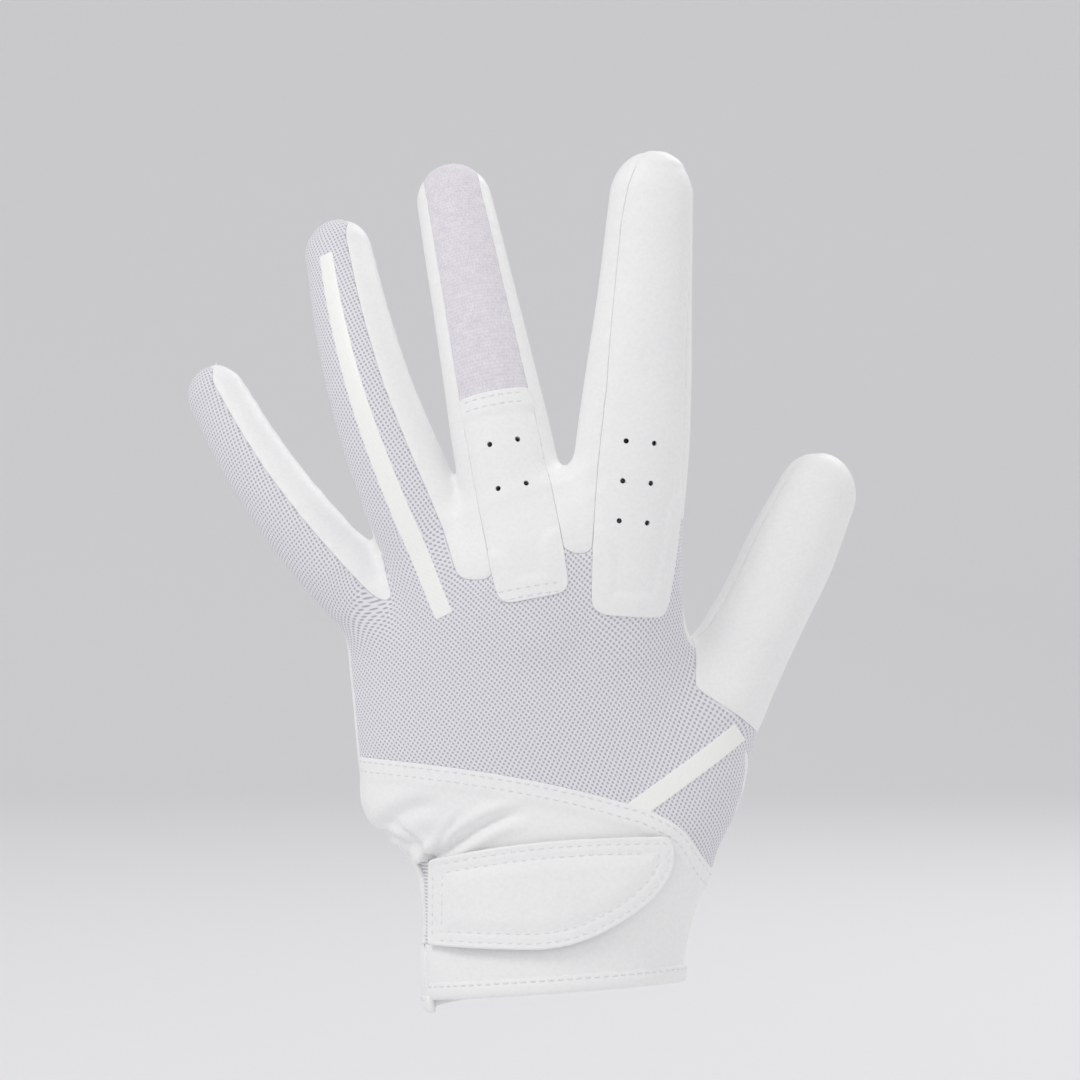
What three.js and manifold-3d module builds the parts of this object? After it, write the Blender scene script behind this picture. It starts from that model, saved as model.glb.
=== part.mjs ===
// A left-hand inner glove for baseball fielding, held open as a hand fills it: white leather and
// knitted mesh panels around one hollow, a wrist cuff with a tab, and an opening for the wrist.
// Millimetres. The origin is the centre of the wrist opening, +Z runs up to the fingertips, the
// back of the hand faces -Y and the thumb is on +X.

import * as THREE from "three";
import { mergeVertices } from "three/addons/utils/BufferGeometryUtils.js";
import Module from "manifold-3d";

const wasm = await Module();
wasm.setup();

// Driving dimensions

const WALL = 1.2; // leather and mesh panels
const GAP = 0.3; // seam between neighbouring pieces
const STRIPE_THICKNESS = 0.6; // smooth tapes bonded on the mesh
const PAD_THICKNESS = 0.8; // hook-and-loop pad under the tab
const TAB_THICKNESS = 1.5; // wrist tab, two layers of leather
const HEM_HEIGHT = 4.4;
const HEM_SWELL = 0.8; // how far the folded hem stands out of the cuff
const HOLE_DIAMETER = 1.3; // air holes in the knuckle plates
const HOLE_SIDES = 6;
const DRILL_LENGTH = 16;
const DIGIT_SIDES = 12;
const BODY_SIDES = 24;
const EDGE_STEPS = 6; // straight pieces in each curve of a drawn outline
const SEAM_STEPS = 22; // straight pieces in the cuff's upper seam
const REACH = 4; // how far a cutter stands out of the surface that it cuts
const FAR = 90; // larger than any half of the glove
const SAME_POINT = 1e-4;
const WELD = 0.02; // corners of a finished piece closer than this become one

const TIP_ROUNDING = [0.45, 0.76, 0.94, 1]; // shares of the way from the last row to the tip
const TIP_BLUNT = 0.2; // the last ring's share of the width

const DORSAL = 48; // degrees from a finger's back to the seam of its side gusset
const PALMAR = 125; // degrees from a finger's back to the seam of its front
const INDEX_SIDE = 72; // the index finger's seam on its thumb side, further round than DORSAL
const LITTLE_FRONT_END = 270; // the little finger's front runs on to its outer side
const ULNAR_SEAM = 278; // degrees round the hand, a little on the back of the little-finger edge
const RADIAL_SEAM = 90;

// Sections of the hand from below the cuff up to the webs of the fingers. lean and arch bend a
// section towards the palm: lean by its share across the width, arch by that share squared.
const BODY = [
  { z: -9, x: 0, y: 0, tilt: 4, halfWidth: 31.8, halfDepth: 23, arch: 0, lean: 0 },
  { z: 9, x: -1.3, y: 0, tilt: 4, halfWidth: 34.1, halfDepth: 22.5, arch: 0, lean: 0 },
  { z: 18, x: 0.4, y: 0, tilt: 4, halfWidth: 34.7, halfDepth: 21.8, arch: 0, lean: 0 },
  { z: 27, x: 1.9, y: 0, tilt: 4, halfWidth: 36.8, halfDepth: 21.2, arch: 0, lean: 0 },
  { z: 34, x: 2.3, y: 0.5, tilt: 4, halfWidth: 38.8, halfDepth: 21, arch: 0.5, lean: 0 },
  { z: 41, x: 1.6, y: 1, tilt: 5, halfWidth: 43, halfDepth: 20.8, arch: 1, lean: 0 },
  { z: 49, x: -1.4, y: 1.5, tilt: 6, halfWidth: 47.4, halfDepth: 20.4, arch: 2, lean: 0 },
  { z: 62, x: -6, y: 1, tilt: 8, halfWidth: 45, halfDepth: 19.4, arch: 3, lean: -1 },
  { z: 80, x: -9.5, y: -0.5, tilt: 11, halfWidth: 43.5, halfDepth: 17.6, arch: 5, lean: -3 },
  { z: 98, x: -11.5, y: -2.5, tilt: 14, halfWidth: 43.2, halfDepth: 16, arch: 7, lean: -5.5 },
  { z: 112, x: -12, y: -4, tilt: 17, halfWidth: 41.5, halfDepth: 13.6, arch: 8.5, lean: -7 },
  { z: 123, x: -12.5, y: -4.2, tilt: 19, halfWidth: 39, halfDepth: 9.6, arch: 8.8, lean: -7.2 },
];

// Each digit starts at its knuckle. splay turns it from +Z towards the thumb side, pitch towards
// the palm and roll turns its back towards the thumb side. bend adds to pitch along the digit.
const DIGITS = {
  index: {
    knuckle: [16.5, -5, 112], splay: 4.6, pitch: -5, roll: 8, length: 100.5,
    rows: [
      { along: -22, bend: 0, halfWidth: 12, halfDepth: 10.5 },
      { along: 0, bend: 0, halfWidth: 14, halfDepth: 12 },
      { along: 24, bend: 1, halfWidth: 14.4, halfDepth: 12 },
      { along: 42, bend: 3, halfWidth: 13.5, halfDepth: 11.4 },
      { along: 64, bend: 6, halfWidth: 11.9, halfDepth: 10.5 },
      { along: 88, bend: 9, halfWidth: 10.7, halfDepth: 9.2 },
    ],
  },
  middle: {
    knuckle: [-8.9, -5, 112], splay: -10.6, pitch: 5, roll: 2, length: 107,
    rows: [
      { along: -22, bend: 0, halfWidth: 11.5, halfDepth: 10.5 },
      { along: 0, bend: 0, halfWidth: 12.6, halfDepth: 12 },
      { along: 27, bend: 2, halfWidth: 12.7, halfDepth: 11.6 },
      { along: 46, bend: 8, halfWidth: 11.8, halfDepth: 11 },
      { along: 66, bend: 15, halfWidth: 10.9, halfDepth: 10 },
      { along: 82, bend: 20, halfWidth: 10.3, halfDepth: 9.4 },
      { along: 96, bend: 23, halfWidth: 9.7, halfDepth: 8.6 },
    ],
  },
  ring: {
    knuckle: [-30, 0.5, 108], splay: -28, pitch: 7, roll: -26, length: 100,
    rows: [
      { along: -20, bend: 0, halfWidth: 10.5, halfDepth: 10 },
      { along: 0, bend: 0, halfWidth: 12.4, halfDepth: 11.6 },
      { along: 26, bend: 3, halfWidth: 12.2, halfDepth: 11.4 },
      { along: 44, bend: 9, halfWidth: 11.3, halfDepth: 10.6 },
      { along: 66, bend: 18, halfWidth: 10.2, halfDepth: 9.6 },
      { along: 90, bend: 25, halfWidth: 9.1, halfDepth: 8.3 },
    ],
  },
  little: {
    knuckle: [-46.5, 7.5, 97], splay: -50, pitch: 8, roll: -38, length: 80,
    rows: [
      { along: -18, bend: 0, halfWidth: 9, halfDepth: 9 },
      { along: 0, bend: 0, halfWidth: 10, halfDepth: 10 },
      { along: 22, bend: 3, halfWidth: 9.8, halfDepth: 9.6 },
      { along: 37, bend: 9, halfWidth: 9.3, halfDepth: 9 },
      { along: 53, bend: 15, halfWidth: 8.8, halfDepth: 8.3 },
      { along: 71, bend: 21, halfWidth: 8.1, halfDepth: 7.5 },
    ],
  },
  thumb: {
    knuckle: [24, 7, 46], splay: 36, pitch: 11, roll: 32, length: 104,
    rows: [
      { along: -6, bend: 0, halfWidth: 14, halfDepth: 13 },
      { along: 10, bend: 0, halfWidth: 17, halfDepth: 15 },
      { along: 26, bend: 0, halfWidth: 15.4, halfDepth: 14 },
      { along: 40, bend: -1, halfWidth: 13.2, halfDepth: 12.4 },
      { along: 58, bend: 2, halfWidth: 12, halfDepth: 11.2 },
      { along: 76, bend: 6, halfWidth: 12.2, halfDepth: 10.8 },
      { along: 92, bend: 8, halfWidth: 11, halfDepth: 9.4 },
    ],
  },
};

// Where the panels of the digits start and end, measured along each digit from its knuckle
const TO_TIP = 116; // past every fingertip
const FRONT_START = -10;
const INDEX_PANEL_START = -16;
const INDEX_GUSSET_START = 8;
const MIDDLE_PLATE = { from: -14, to: 38 };
const THUMB_SEAM = 30;
const RING_STRIPE = { from: -14, to: 86, fromAngle: -2, toAngle: 20 };

// The hem's two lengths: tilt in degrees raises the thumb side, pitch the back of the hand. The
// palm's one ends lower at the little-finger side, where the cuff is slit.
const HEMS = {
  back: { drop: 0, tilt: 4, pitch: 4 },
  palm: { drop: 1.5, tilt: 6.6, pitch: 0 },
};

// Webs, with the two digits that each one joins: where its bottom is and how far it is cut down
const WEBS = {
  index_middle: { right: "index", left: "middle", x: 1.4, y: -4, z: 128.5, width: 16, from: 15 },
  middle_ring: { right: "middle", left: "ring", x: -23.5, y: -3, z: 119, width: 16, from: 8 },
  ring_little: { right: "ring", left: "little", x: -47.5, y: 4, z: 110.5, width: 14, from: 7 },
};
const WEB_DEPTH = 15;
const WEB_BELOW = 3;
const WEB_ABOVE = 9;

// Upper edge of the cuff's leather over the mesh, seen from the back of the hand
const CUFF_SEAM = [
  { x: 60, z: 22 }, { x: 41, z: 28 }, { x: 36.5, z: 34 }, { x: 32, z: 40.6 }, { x: 25, z: 45.4 },
  { x: 14, z: 49.2 }, { x: 0, z: 52.8 }, { x: -16, z: 55.8 }, { x: -34, z: 58 }, { x: -60, z: 59.6 },
];

// The wrist tab's outline from its sewn end's lower corner: up that end, along the rising upper
// edge, round the shoulder and the nose, down the slope and round the heel to the lower edge
const TAB = {
  start: { x: -31.7, z: 12.3 },
  sewnEnd: { x: -31.7, z: 34 },
  curves: [
    { leaveX: -13.7, leaveZ: 38.6, arriveX: 3.8, arriveZ: 40, x: 25.8, z: 40 },
    { leaveX: 27.3, leaveZ: 39.8, arriveX: 28, arriveZ: 38.1, x: 28, z: 35 },
    { leaveX: 28, leaveZ: 28, arriveX: 19.5, arriveZ: 21.2, x: 10.5, z: 16.6 },
    { leaveX: 3.5, leaveZ: 13, arriveX: -3, arriveZ: 12.3, x: -9, z: 12.3 },
  ],
};
const PAD = { left: -12, right: 17, bottom: 20, top: 33.5 };
const ELASTIC = { left: -41, right: -32, bottom: 12.2, top: 34.1 };

// The short smooth stripe's start over the cuff, its run, its width and how far back it reaches
const LOW_STRIPE = { x: 17.5, z: 45.4, dx: 29, dz: 20, width: 5, back: 2 };

// Air holes in two columns: the first row's place along the digit, and how far the columns are
// from its middle
const AIR_HOLES = {
  index: { from: 7.6, rows: 3, pitch: 9.8, spread: 3.6 },
  middle: { from: 14.5, rows: 2, pitch: 10.8, spread: 3.6 },
};

const degrees = THREE.MathUtils.degToRad;

// Sections and lofts

// One closed ring of a section, from its back (0 degrees) round by the thumb side
function ringPoint(section, angle, outset) {
  const halfWidth = section.halfWidth + outset;
  const halfDepth = section.halfDepth + outset;
  const across = Math.sin(degrees(angle));
  const bend = (section.arch ?? 0) * across ** 2 + (section.lean ?? 0) * across;
  return section.centre.clone()
    .addScaledVector(section.right, halfWidth * across)
    .addScaledVector(section.normal, halfDepth * Math.cos(degrees(angle)) - bend);
}

function fullRing(section, sides, outset) {
  return Array.from({ length: sides }, (_, i) => ringPoint(section, (360 * i) / sides, outset));
}

// A closed skin through rings with the same number of points, with a fan over each end
function loft(rings) {
  const sides = rings[0].length;
  const positions = rings.flatMap((ring) => ring.flatMap((p) => [p.x, p.y, p.z]));
  const index = [];
  for (let r = 0; r + 1 < rings.length; r++) {
    for (let i = 0; i < sides; i++) {
      const a = r * sides + i;
      const b = r * sides + ((i + 1) % sides);
      index.push(a, b, b + sides, a, b + sides, a + sides);
    }
  }
  const last = (rings.length - 1) * sides;
  for (let i = 1; i + 1 < sides; i++) {
    index.push(0, i + 1, i, last, last + i, last + i + 1);
  }
  const geometry = new THREE.BufferGeometry();
  geometry.setAttribute("position", new THREE.Float32BufferAttribute(positions, 3));
  geometry.setIndex(index);
  return geometry;
}

function signedVolume(vertices, triangles) {
  let sum = 0;
  const [a, b, c] = [new THREE.Vector3(), new THREE.Vector3(), new THREE.Vector3()];
  for (let t = 0; t < triangles.length; t += 3) {
    a.fromArray(vertices, 3 * triangles[t]);
    b.fromArray(vertices, 3 * triangles[t + 1]);
    c.fromArray(vertices, 3 * triangles[t + 2]);
    sum += a.dot(b.cross(c));
  }
  return sum / 6;
}

// A geometry as a solid, with close corners welded and its faces turned outwards
function solid(geometry, weld = SAME_POINT) {
  const bare = geometry.clone();
  bare.deleteAttribute("normal");
  bare.deleteAttribute("uv");
  const merged = mergeVertices(bare, weld);
  const corners = Array.from(merged.index.array);
  const kept = corners.filter((_, i) => {
    const [a, b, c] = corners.slice(i - (i % 3), i - (i % 3) + 3);
    return a !== b && b !== c && a !== c;
  });
  const vertProperties = new Float32Array(merged.attributes.position.array);
  const triVerts = new Uint32Array(kept);
  if (signedVolume(vertProperties, triVerts) < 0) {
    triVerts.reverse();
  }
  return new wasm.Manifold(new wasm.Mesh({ numProp: 3, vertProperties, triVerts }));
}

const unite = (solids) => solids.reduce((whole, next) => whole.add(next));

// Frames

const BODY_FRAMES = BODY.map((row) => ({
  ...row,
  centre: new THREE.Vector3(row.x, row.y, row.z),
  right: new THREE.Vector3(Math.cos(degrees(row.tilt)), 0, Math.sin(degrees(row.tilt))),
  normal: new THREE.Vector3(0, -1, 0),
  direction: new THREE.Vector3(-Math.sin(degrees(row.tilt)), 0, Math.cos(degrees(row.tilt))),
}));

// The frames of a digit at its table's rows, walked along its bending centre line
function digitFrames(digit) {
  const splay = degrees(digit.splay);
  const roll = degrees(digit.roll);
  const forward = new THREE.Vector3(Math.sin(splay), 0, Math.cos(splay));
  const flatRight = new THREE.Vector3(Math.cos(splay), 0, -Math.sin(splay));
  const flatNormal = new THREE.Vector3(0, -1, 0);
  const right = flatRight.clone().multiplyScalar(Math.cos(roll))
    .addScaledVector(flatNormal, -Math.sin(roll));
  const normal = flatNormal.clone().multiplyScalar(Math.cos(roll))
    .addScaledVector(flatRight, Math.sin(roll));
  const start = digit.rows.findIndex((row) => row.along >= 0);
  const frames = digit.rows.map((row) => {
    const turn = degrees(digit.pitch + row.bend);
    return {
      ...row,
      right,
      direction: forward.clone().multiplyScalar(Math.cos(turn))
        .addScaledVector(normal, -Math.sin(turn)),
      normal: normal.clone().multiplyScalar(Math.cos(turn))
        .addScaledVector(forward, Math.sin(turn)),
    };
  });
  const knuckle = new THREE.Vector3(...digit.knuckle);
  frames[start].centre = knuckle.clone().addScaledVector(frames[start].direction, frames[start].along);
  for (let i = start + 1; i < frames.length; i++) {
    const step = frames[i].along - frames[i - 1].along;
    frames[i].centre = frames[i - 1].centre.clone().addScaledVector(frames[i].direction, step);
  }
  for (let i = start - 1; i >= 0; i--) {
    const step = frames[i].along - frames[i + 1].along;
    frames[i].centre = frames[i + 1].centre.clone().addScaledVector(frames[i + 1].direction, step);
  }
  return frames;
}

const FRAMES = Object.fromEntries(
  Object.entries(DIGITS).map(([name, digit]) => [name, digitFrames(digit)]),
);

// A digit's frame at any length, straight on past both ends of its table
function frameAt(name, along) {
  const frames = FRAMES[name];
  const after = frames.findIndex((frame) => frame.along > along);
  const upper = after === -1 ? frames.length - 1 : Math.max(after, 1);
  const [a, b] = [frames[upper - 1], frames[upper]];
  const share = (along - a.along) / (b.along - a.along);
  const within = THREE.MathUtils.clamp(share, 0, 1);
  const centre = share > 1
    ? b.centre.clone().addScaledVector(b.direction, along - b.along)
    : a.centre.clone().addScaledVector(b.direction, along - a.along);
  return {
    along,
    centre,
    right: a.right,
    direction: b.direction,
    normal: a.normal.clone().lerp(b.normal, within).normalize(),
    halfWidth: THREE.MathUtils.lerp(a.halfWidth, b.halfWidth, within),
    halfDepth: THREE.MathUtils.lerp(a.halfDepth, b.halfDepth, within),
  };
}

// The hand as one solid, grown by outset

// An end section moved along its direction, so that a wall keeps its thickness over a flat end
function moved(frame, distance) {
  return { ...frame, centre: frame.centre.clone().addScaledVector(frame.direction, distance) };
}

function digitSolid(name, outset) {
  const [base, ...frames] = FRAMES[name];
  const last = frames.at(-1);
  const dome = DIGITS[name].length - last.along + outset;
  const tip = TIP_ROUNDING.map((share) => {
    const shrink = Math.max(Math.sqrt(1 - share ** 2), TIP_BLUNT);
    const section = frameAt(name, last.along + dome * share);
    return {
      ...section,
      halfWidth: (last.halfWidth + outset) * shrink - outset,
      halfDepth: (last.halfDepth + outset) * shrink - outset,
    };
  });
  const sections = [moved(base, -outset), ...frames, ...tip];
  return solid(loft(sections.map((f) => fullRing(f, DIGIT_SIDES, outset))));
}

function bodySolid(outset) {
  const sections = [...BODY_FRAMES.slice(0, -1), moved(BODY_FRAMES.at(-1), outset)];
  return solid(loft(sections.map((f) => fullRing(f, BODY_SIDES, outset))));
}

function handSolid(outset) {
  return unite([bodySolid(outset), ...Object.keys(DIGITS).map((name) => digitSolid(name, outset))]);
}

// Cutters

// A wedge round a row of frames, from its centre line out past the surface
function wedge(frames, fromAngle, toAngle, sides, grow) {
  const rings = frames.map((frame) => {
    const widen = THREE.MathUtils.radToDeg(grow / frame.halfDepth);
    const from = fromAngle - widen;
    const to = toAngle + widen;
    const steps = Math.max(2, Math.round((sides * (toAngle - fromAngle)) / 360));
    const arc = Array.from({ length: steps + 1 }, (_, i) =>
      ringPoint(frame, from + ((to - from) * i) / steps, REACH + grow));
    return [frame.centre.clone(), ...arc];
  });
  return solid(loft(rings));
}

function digitWedge(name, { from, to, fromAngle, toAngle, grow = 0 }) {
  const start = from - grow;
  const end = to + grow;
  const inner = DIGITS[name].rows.map((row) => row.along).filter((a) => a > start && a < end);
  const frames = [start, ...inner, end].map((along) => frameAt(name, along));
  return wedge(frames, fromAngle, toAngle, DIGIT_SIDES, grow);
}

function bodyWedge(fromAngle, toAngle, grow = 0) {
  const [first, ...frames] = BODY_FRAMES;
  const sections = [moved(first, -REACH), ...frames.slice(0, -1), moved(frames.at(-1), REACH)];
  return wedge(sections, fromAngle, toAngle, BODY_SIDES, grow);
}

// A block whose outline is drawn on the back of the hand, from y = near to y = far
function slab(shape, near, far) {
  const geometry = new THREE.ExtrudeGeometry(shape, {
    depth: far - near, bevelEnabled: false, curveSegments: EDGE_STEPS,
  });
  return solid(geometry.rotateX(degrees(90)).translate(0, far, 0));
}

function polygon(points) {
  return new THREE.Shape(points.map(([x, z]) => new THREE.Vector2(x, z)));
}

// Everything between two heights over the tilted plane of a hem
function hemLayer({ drop, tilt, pitch }, low, high) {
  const layer = new THREE.BoxGeometry(2 * FAR, 2 * FAR, high - low);
  layer.translate(0, 0, (low + high) / 2 - drop);
  return solid(layer.rotateY(-degrees(tilt)).rotateX(-degrees(pitch)));
}

function cuffZone(grow = 0) {
  const edge = new THREE.SplineCurve(CUFF_SEAM.map((p) => new THREE.Vector2(p.x, p.z + grow)));
  const line = edge.getPoints(SEAM_STEPS).map((p) => [p.x, p.y]);
  const [thumbSide, littleSide] = [line[0][0], line.at(-1)[0]];
  return slab(polygon([[littleSide, -FAR / 2], [thumbSide, -FAR / 2], ...line]), -FAR, FAR);
}

function box(low, high) {
  const size = high.map((v, i) => v - low[i]);
  const middle = high.map((v, i) => (v + low[i]) / 2);
  return solid(new THREE.BoxGeometry(...size).translate(...middle));
}

function webBlock(web, grow = 0) {
  const width = web.width / 2 + grow;
  const height = WEB_BELOW + WEB_ABOVE + 2 * grow;
  const block = new THREE.BoxGeometry(2 * width, WEB_DEPTH + 2 * grow, height);
  return solid(block.translate(web.x, web.y, web.z + (WEB_ABOVE - WEB_BELOW) / 2));
}

// Panels: each region takes its share of the glove's wall, and the next ones keep GAP from it

const outer = handSolid(0);
const hollow = handSolid(-WALL);
const palmHalf = (grow = 0) => bodyWedge(RADIAL_SEAM, ULNAR_SEAM, grow);

function fourchette(name, grow = 0) {
  const web = WEBS[name];
  return unite([
    digitWedge(web.right, { from: web.from, to: TO_TIP, fromAngle: -PALMAR, toAngle: -DORSAL, grow }),
    digitWedge(web.left, { from: web.from, to: TO_TIP, fromAngle: DORSAL, toAngle: PALMAR, grow }),
    webBlock(web, grow),
  ]);
}

function thumbZone(fromAngle, toAngle, grow = 0) {
  return digitWedge("thumb", { from: THUMB_SEAM, to: TO_TIP, fromAngle, toAngle, grow });
}

function palmZone(grow = 0) {
  const front = {
    from: FRONT_START, to: TO_TIP, fromAngle: PALMAR, toAngle: 360 - PALMAR, grow,
  };
  return unite([
    palmHalf(grow),
    digitWedge("index", front),
    digitWedge("middle", front),
    digitWedge("ring", front),
    digitWedge("little", { ...front, toAngle: LITTLE_FRONT_END }),
  ]);
}

// The regions in the order in which they take from the wall
const REGIONS = [
  ["thumb_front", (grow) => thumbZone(90, 270, grow)],
  ["thumb_back", (grow) => thumbZone(-90, 90, grow)],
  ["fourchette_index_middle", (grow) => fourchette("index_middle", grow)],
  ["fourchette_middle_ring", (grow) => fourchette("middle_ring", grow)],
  ["fourchette_ring_little", (grow) => fourchette("ring_little", grow)],
  ["index_side_gusset", (grow) => digitWedge("index", {
    from: INDEX_GUSSET_START, to: TO_TIP, fromAngle: INDEX_SIDE, toAngle: PALMAR, grow,
  })],
  ["index_back", (grow) => digitWedge("index", {
    from: INDEX_PANEL_START, to: TO_TIP, fromAngle: -DORSAL, toAngle: INDEX_SIDE, grow,
  })],
  ["middle_knuckle_plate", (grow) => digitWedge("middle", {
    ...MIDDLE_PLATE, fromAngle: -DORSAL, toAngle: DORSAL, grow,
  })],
  ["middle_back_knit", (grow) => digitWedge("middle", {
    from: MIDDLE_PLATE.to, to: TO_TIP, fromAngle: -DORSAL, toAngle: DORSAL, grow,
  })],
  ["palm_leather", (grow) => palmZone(grow)],
  ["elastic_insert", (grow) => box(
    [ELASTIC.left, -FAR, ELASTIC.bottom - grow], [ELASTIC.right + grow, 0, ELASTIC.top + grow],
  )],
  ["cuff_back", (grow) => cuffZone(grow)],
];

// The largest body of a cut, without the crumbs and slivers that curved seams leave
function largest(cut) {
  return cut.decompose().sort((a, b) => b.volume() - a.volume())[0];
}

function geometryOf(body) {
  const { vertProperties, triVerts } = body.getMesh();
  const geometry = new THREE.BufferGeometry();
  geometry.setAttribute("position", new THREE.Float32BufferAttribute(vertProperties, 3));
  geometry.setIndex(Array.from(triVerts));
  return geometry;
}

const clean = (cut) => largest(solid(geometryOf(largest(cut)), WELD));

function wallPanels() {
  const panels = {};
  const palmFloor = hemLayer(HEMS.palm, HEM_HEIGHT + GAP, 3 * FAR);
  const backStep = hemLayer(HEMS.back, -FAR, HEM_HEIGHT + GAP).subtract(palmHalf());
  let rest = outer.subtract(hollow).intersect(palmFloor).subtract(backStep);
  for (const [name, region] of REGIONS) {
    panels[name] = largest(rest.intersect(region(0)));
    rest = rest.subtract(region(GAP));
  }
  panels.back_mesh = largest(rest);
  return panels;
}

// A layer over the surface, from one height over it to another
const layer = (low, thickness) => handSolid(low + thickness).subtract(handSolid(low));
const bodyLayer = (low, thickness) => bodySolid(low + thickness).subtract(bodySolid(low));

function tabOutline() {
  const shape = new THREE.Shape();
  shape.moveTo(TAB.start.x, TAB.start.z);
  shape.lineTo(TAB.sewnEnd.x, TAB.sewnEnd.z);
  for (const { leaveX, leaveZ, arriveX, arriveZ, x, z } of TAB.curves) {
    shape.bezierCurveTo(leaveX, leaveZ, arriveX, arriveZ, x, z);
  }
  shape.closePath();
  return shape;
}

// A band round the cuff that stands out of the wall and reaches in past it
function hemRing() {
  return bodySolid(HEM_SWELL).subtract(bodySolid(-WALL - HEM_SWELL / 2));
}

// Two columns of air holes through a knuckle plate, square to the digit's back
function airHoles(name) {
  const { from, rows, pitch, spread } = AIR_HOLES[name];
  const radius = HOLE_DIAMETER / 2;
  const drills = [];
  for (let row = 0; row < rows; row++) {
    for (const side of [-1, 1]) {
      const frame = frameAt(name, from + pitch * row);
      const surface = frame.centre.clone().addScaledVector(frame.normal, frame.halfDepth)
        .addScaledVector(frame.right, side * spread);
      const drill = new THREE.CylinderGeometry(radius, radius, DRILL_LENGTH, HOLE_SIDES);
      drill.applyQuaternion(new THREE.Quaternion().setFromUnitVectors(
        new THREE.Vector3(0, 1, 0), frame.normal,
      ));
      drills.push(solid(drill.translate(surface.x, surface.y, surface.z)));
    }
  }
  return unite(drills);
}

const pieces = wallPanels();

pieces.index_back = pieces.index_back.subtract(airHoles("index"));
pieces.middle_knuckle_plate = pieces.middle_knuckle_plate.subtract(airHoles("middle"));

// The hem is a folded binding, in two lengths that part at the slit on the little-finger side
const hem = hemRing();
pieces.hem_back = largest(
  hem.intersect(hemLayer(HEMS.back, 0, HEM_HEIGHT)).subtract(palmHalf(GAP)),
);
pieces.hem_palm = largest(
  hem.intersect(hemLayer(HEMS.palm, 0, HEM_HEIGHT)).intersect(palmHalf()),
);

// Bonded on the back: the ring finger's stripe and the short one over the thumb's root
function lowStripe() {
  const { x, z, dx, dz, width, back } = LOW_STRIPE;
  const side = new THREE.Vector2(-dz, dx).normalize().multiplyScalar(width / 2);
  const corners = [
    [x - side.x, z - side.y], [x + dx - side.x, z + dz - side.y],
    [x + dx + side.x, z + dz + side.y], [x + side.x, z + side.y],
  ];
  return slab(polygon(corners), -FAR, back);
}

const stripeLayer = layer(GAP, STRIPE_THICKNESS);
pieces.ring_stripe = largest(stripeLayer.intersect(digitWedge("ring", RING_STRIPE)));
pieces.hand_stripe = largest(stripeLayer.intersect(lowStripe()).subtract(cuffZone(GAP)));

// The tab lies over the cuff, with its hook-and-loop pad between them
pieces.tab_pad = largest(bodyLayer(GAP, PAD_THICKNESS).intersect(
  box([PAD.left, -FAR, PAD.bottom], [PAD.right, 0, PAD.top]),
));
pieces.wrist_tab = largest(
  bodyLayer(2 * GAP + PAD_THICKNESS, TAB_THICKNESS).intersect(slab(tabOutline(), -FAR, 0)),
);

// Materials

const leather = () => new THREE.MeshStandardMaterial({ color: 0xf1f1ef, roughness: 0.62, metalness: 0 });
const mesh = () => new THREE.MeshStandardMaterial({ color: 0xd9d7e0, roughness: 0.85, metalness: 0 });
const knit = () => new THREE.MeshStandardMaterial({ color: 0xd6d2de, roughness: 0.9, metalness: 0 });
const tape = () => new THREE.MeshStandardMaterial({ color: 0xf4f4f1, roughness: 0.45, metalness: 0 });
const elastic = () => new THREE.MeshStandardMaterial({ color: 0xdcdbe2, roughness: 0.8, metalness: 0 });

const MATERIALS = {
  back_mesh: mesh, middle_back_knit: knit, ring_stripe: tape, hand_stripe: tape,
  elastic_insert: elastic, tab_pad: knit,
};

function toMesh(name, body) {
  const geometry = geometryOf(clean(body));
  geometry.computeVertexNormals();
  const shown = new THREE.Mesh(geometry, (MATERIALS[name] ?? leather)());
  shown.name = name;
  return shown;
}

const glove = new THREE.Group();
for (const [name, body] of Object.entries(pieces)) {
  glove.add(toMesh(name, body));
}

export default glove;
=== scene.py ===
"""A left-hand inner glove for baseball fielding, held open as a hand fills it.

Lengths in the tables are millimetres in the CAD frame: the origin is the centre of the wrist
opening, +Z runs to the fingertips, the back of the hand faces -Y and the thumb is on +X. One
function, at the end of each piece, turns them to metres.
"""

import math

import bpy
import numpy as np
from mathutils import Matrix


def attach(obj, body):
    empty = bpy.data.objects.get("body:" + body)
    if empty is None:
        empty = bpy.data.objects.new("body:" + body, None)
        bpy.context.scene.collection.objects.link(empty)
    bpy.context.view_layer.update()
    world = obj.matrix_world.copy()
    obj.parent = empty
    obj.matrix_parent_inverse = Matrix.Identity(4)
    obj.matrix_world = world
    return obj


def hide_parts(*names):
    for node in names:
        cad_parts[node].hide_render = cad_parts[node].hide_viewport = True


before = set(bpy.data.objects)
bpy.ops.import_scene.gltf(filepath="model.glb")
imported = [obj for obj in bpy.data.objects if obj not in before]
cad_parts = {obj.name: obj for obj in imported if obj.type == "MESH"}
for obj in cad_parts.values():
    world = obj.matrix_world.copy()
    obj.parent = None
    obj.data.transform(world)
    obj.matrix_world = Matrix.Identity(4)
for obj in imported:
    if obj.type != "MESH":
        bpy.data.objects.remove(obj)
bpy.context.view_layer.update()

# Camera: level with the hand's middle and square to its back, as in the photograph

SENSOR = 0.036
LENS = 0.13333
CAMERA_PLACE = (-0.0045, -1.014, 0.114)

camera_data = bpy.data.cameras.new("camera")
camera_data.sensor_width = SENSOR * 1000
camera_data.lens = LENS * 1000
camera = bpy.data.objects.new("camera", camera_data)
camera.location = CAMERA_PLACE
camera.rotation_euler = (math.radians(90), 0, 0)
bpy.context.scene.collection.objects.link(camera)
bpy.context.scene.camera = camera


# Driving dimensions, as in the part's source

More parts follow.
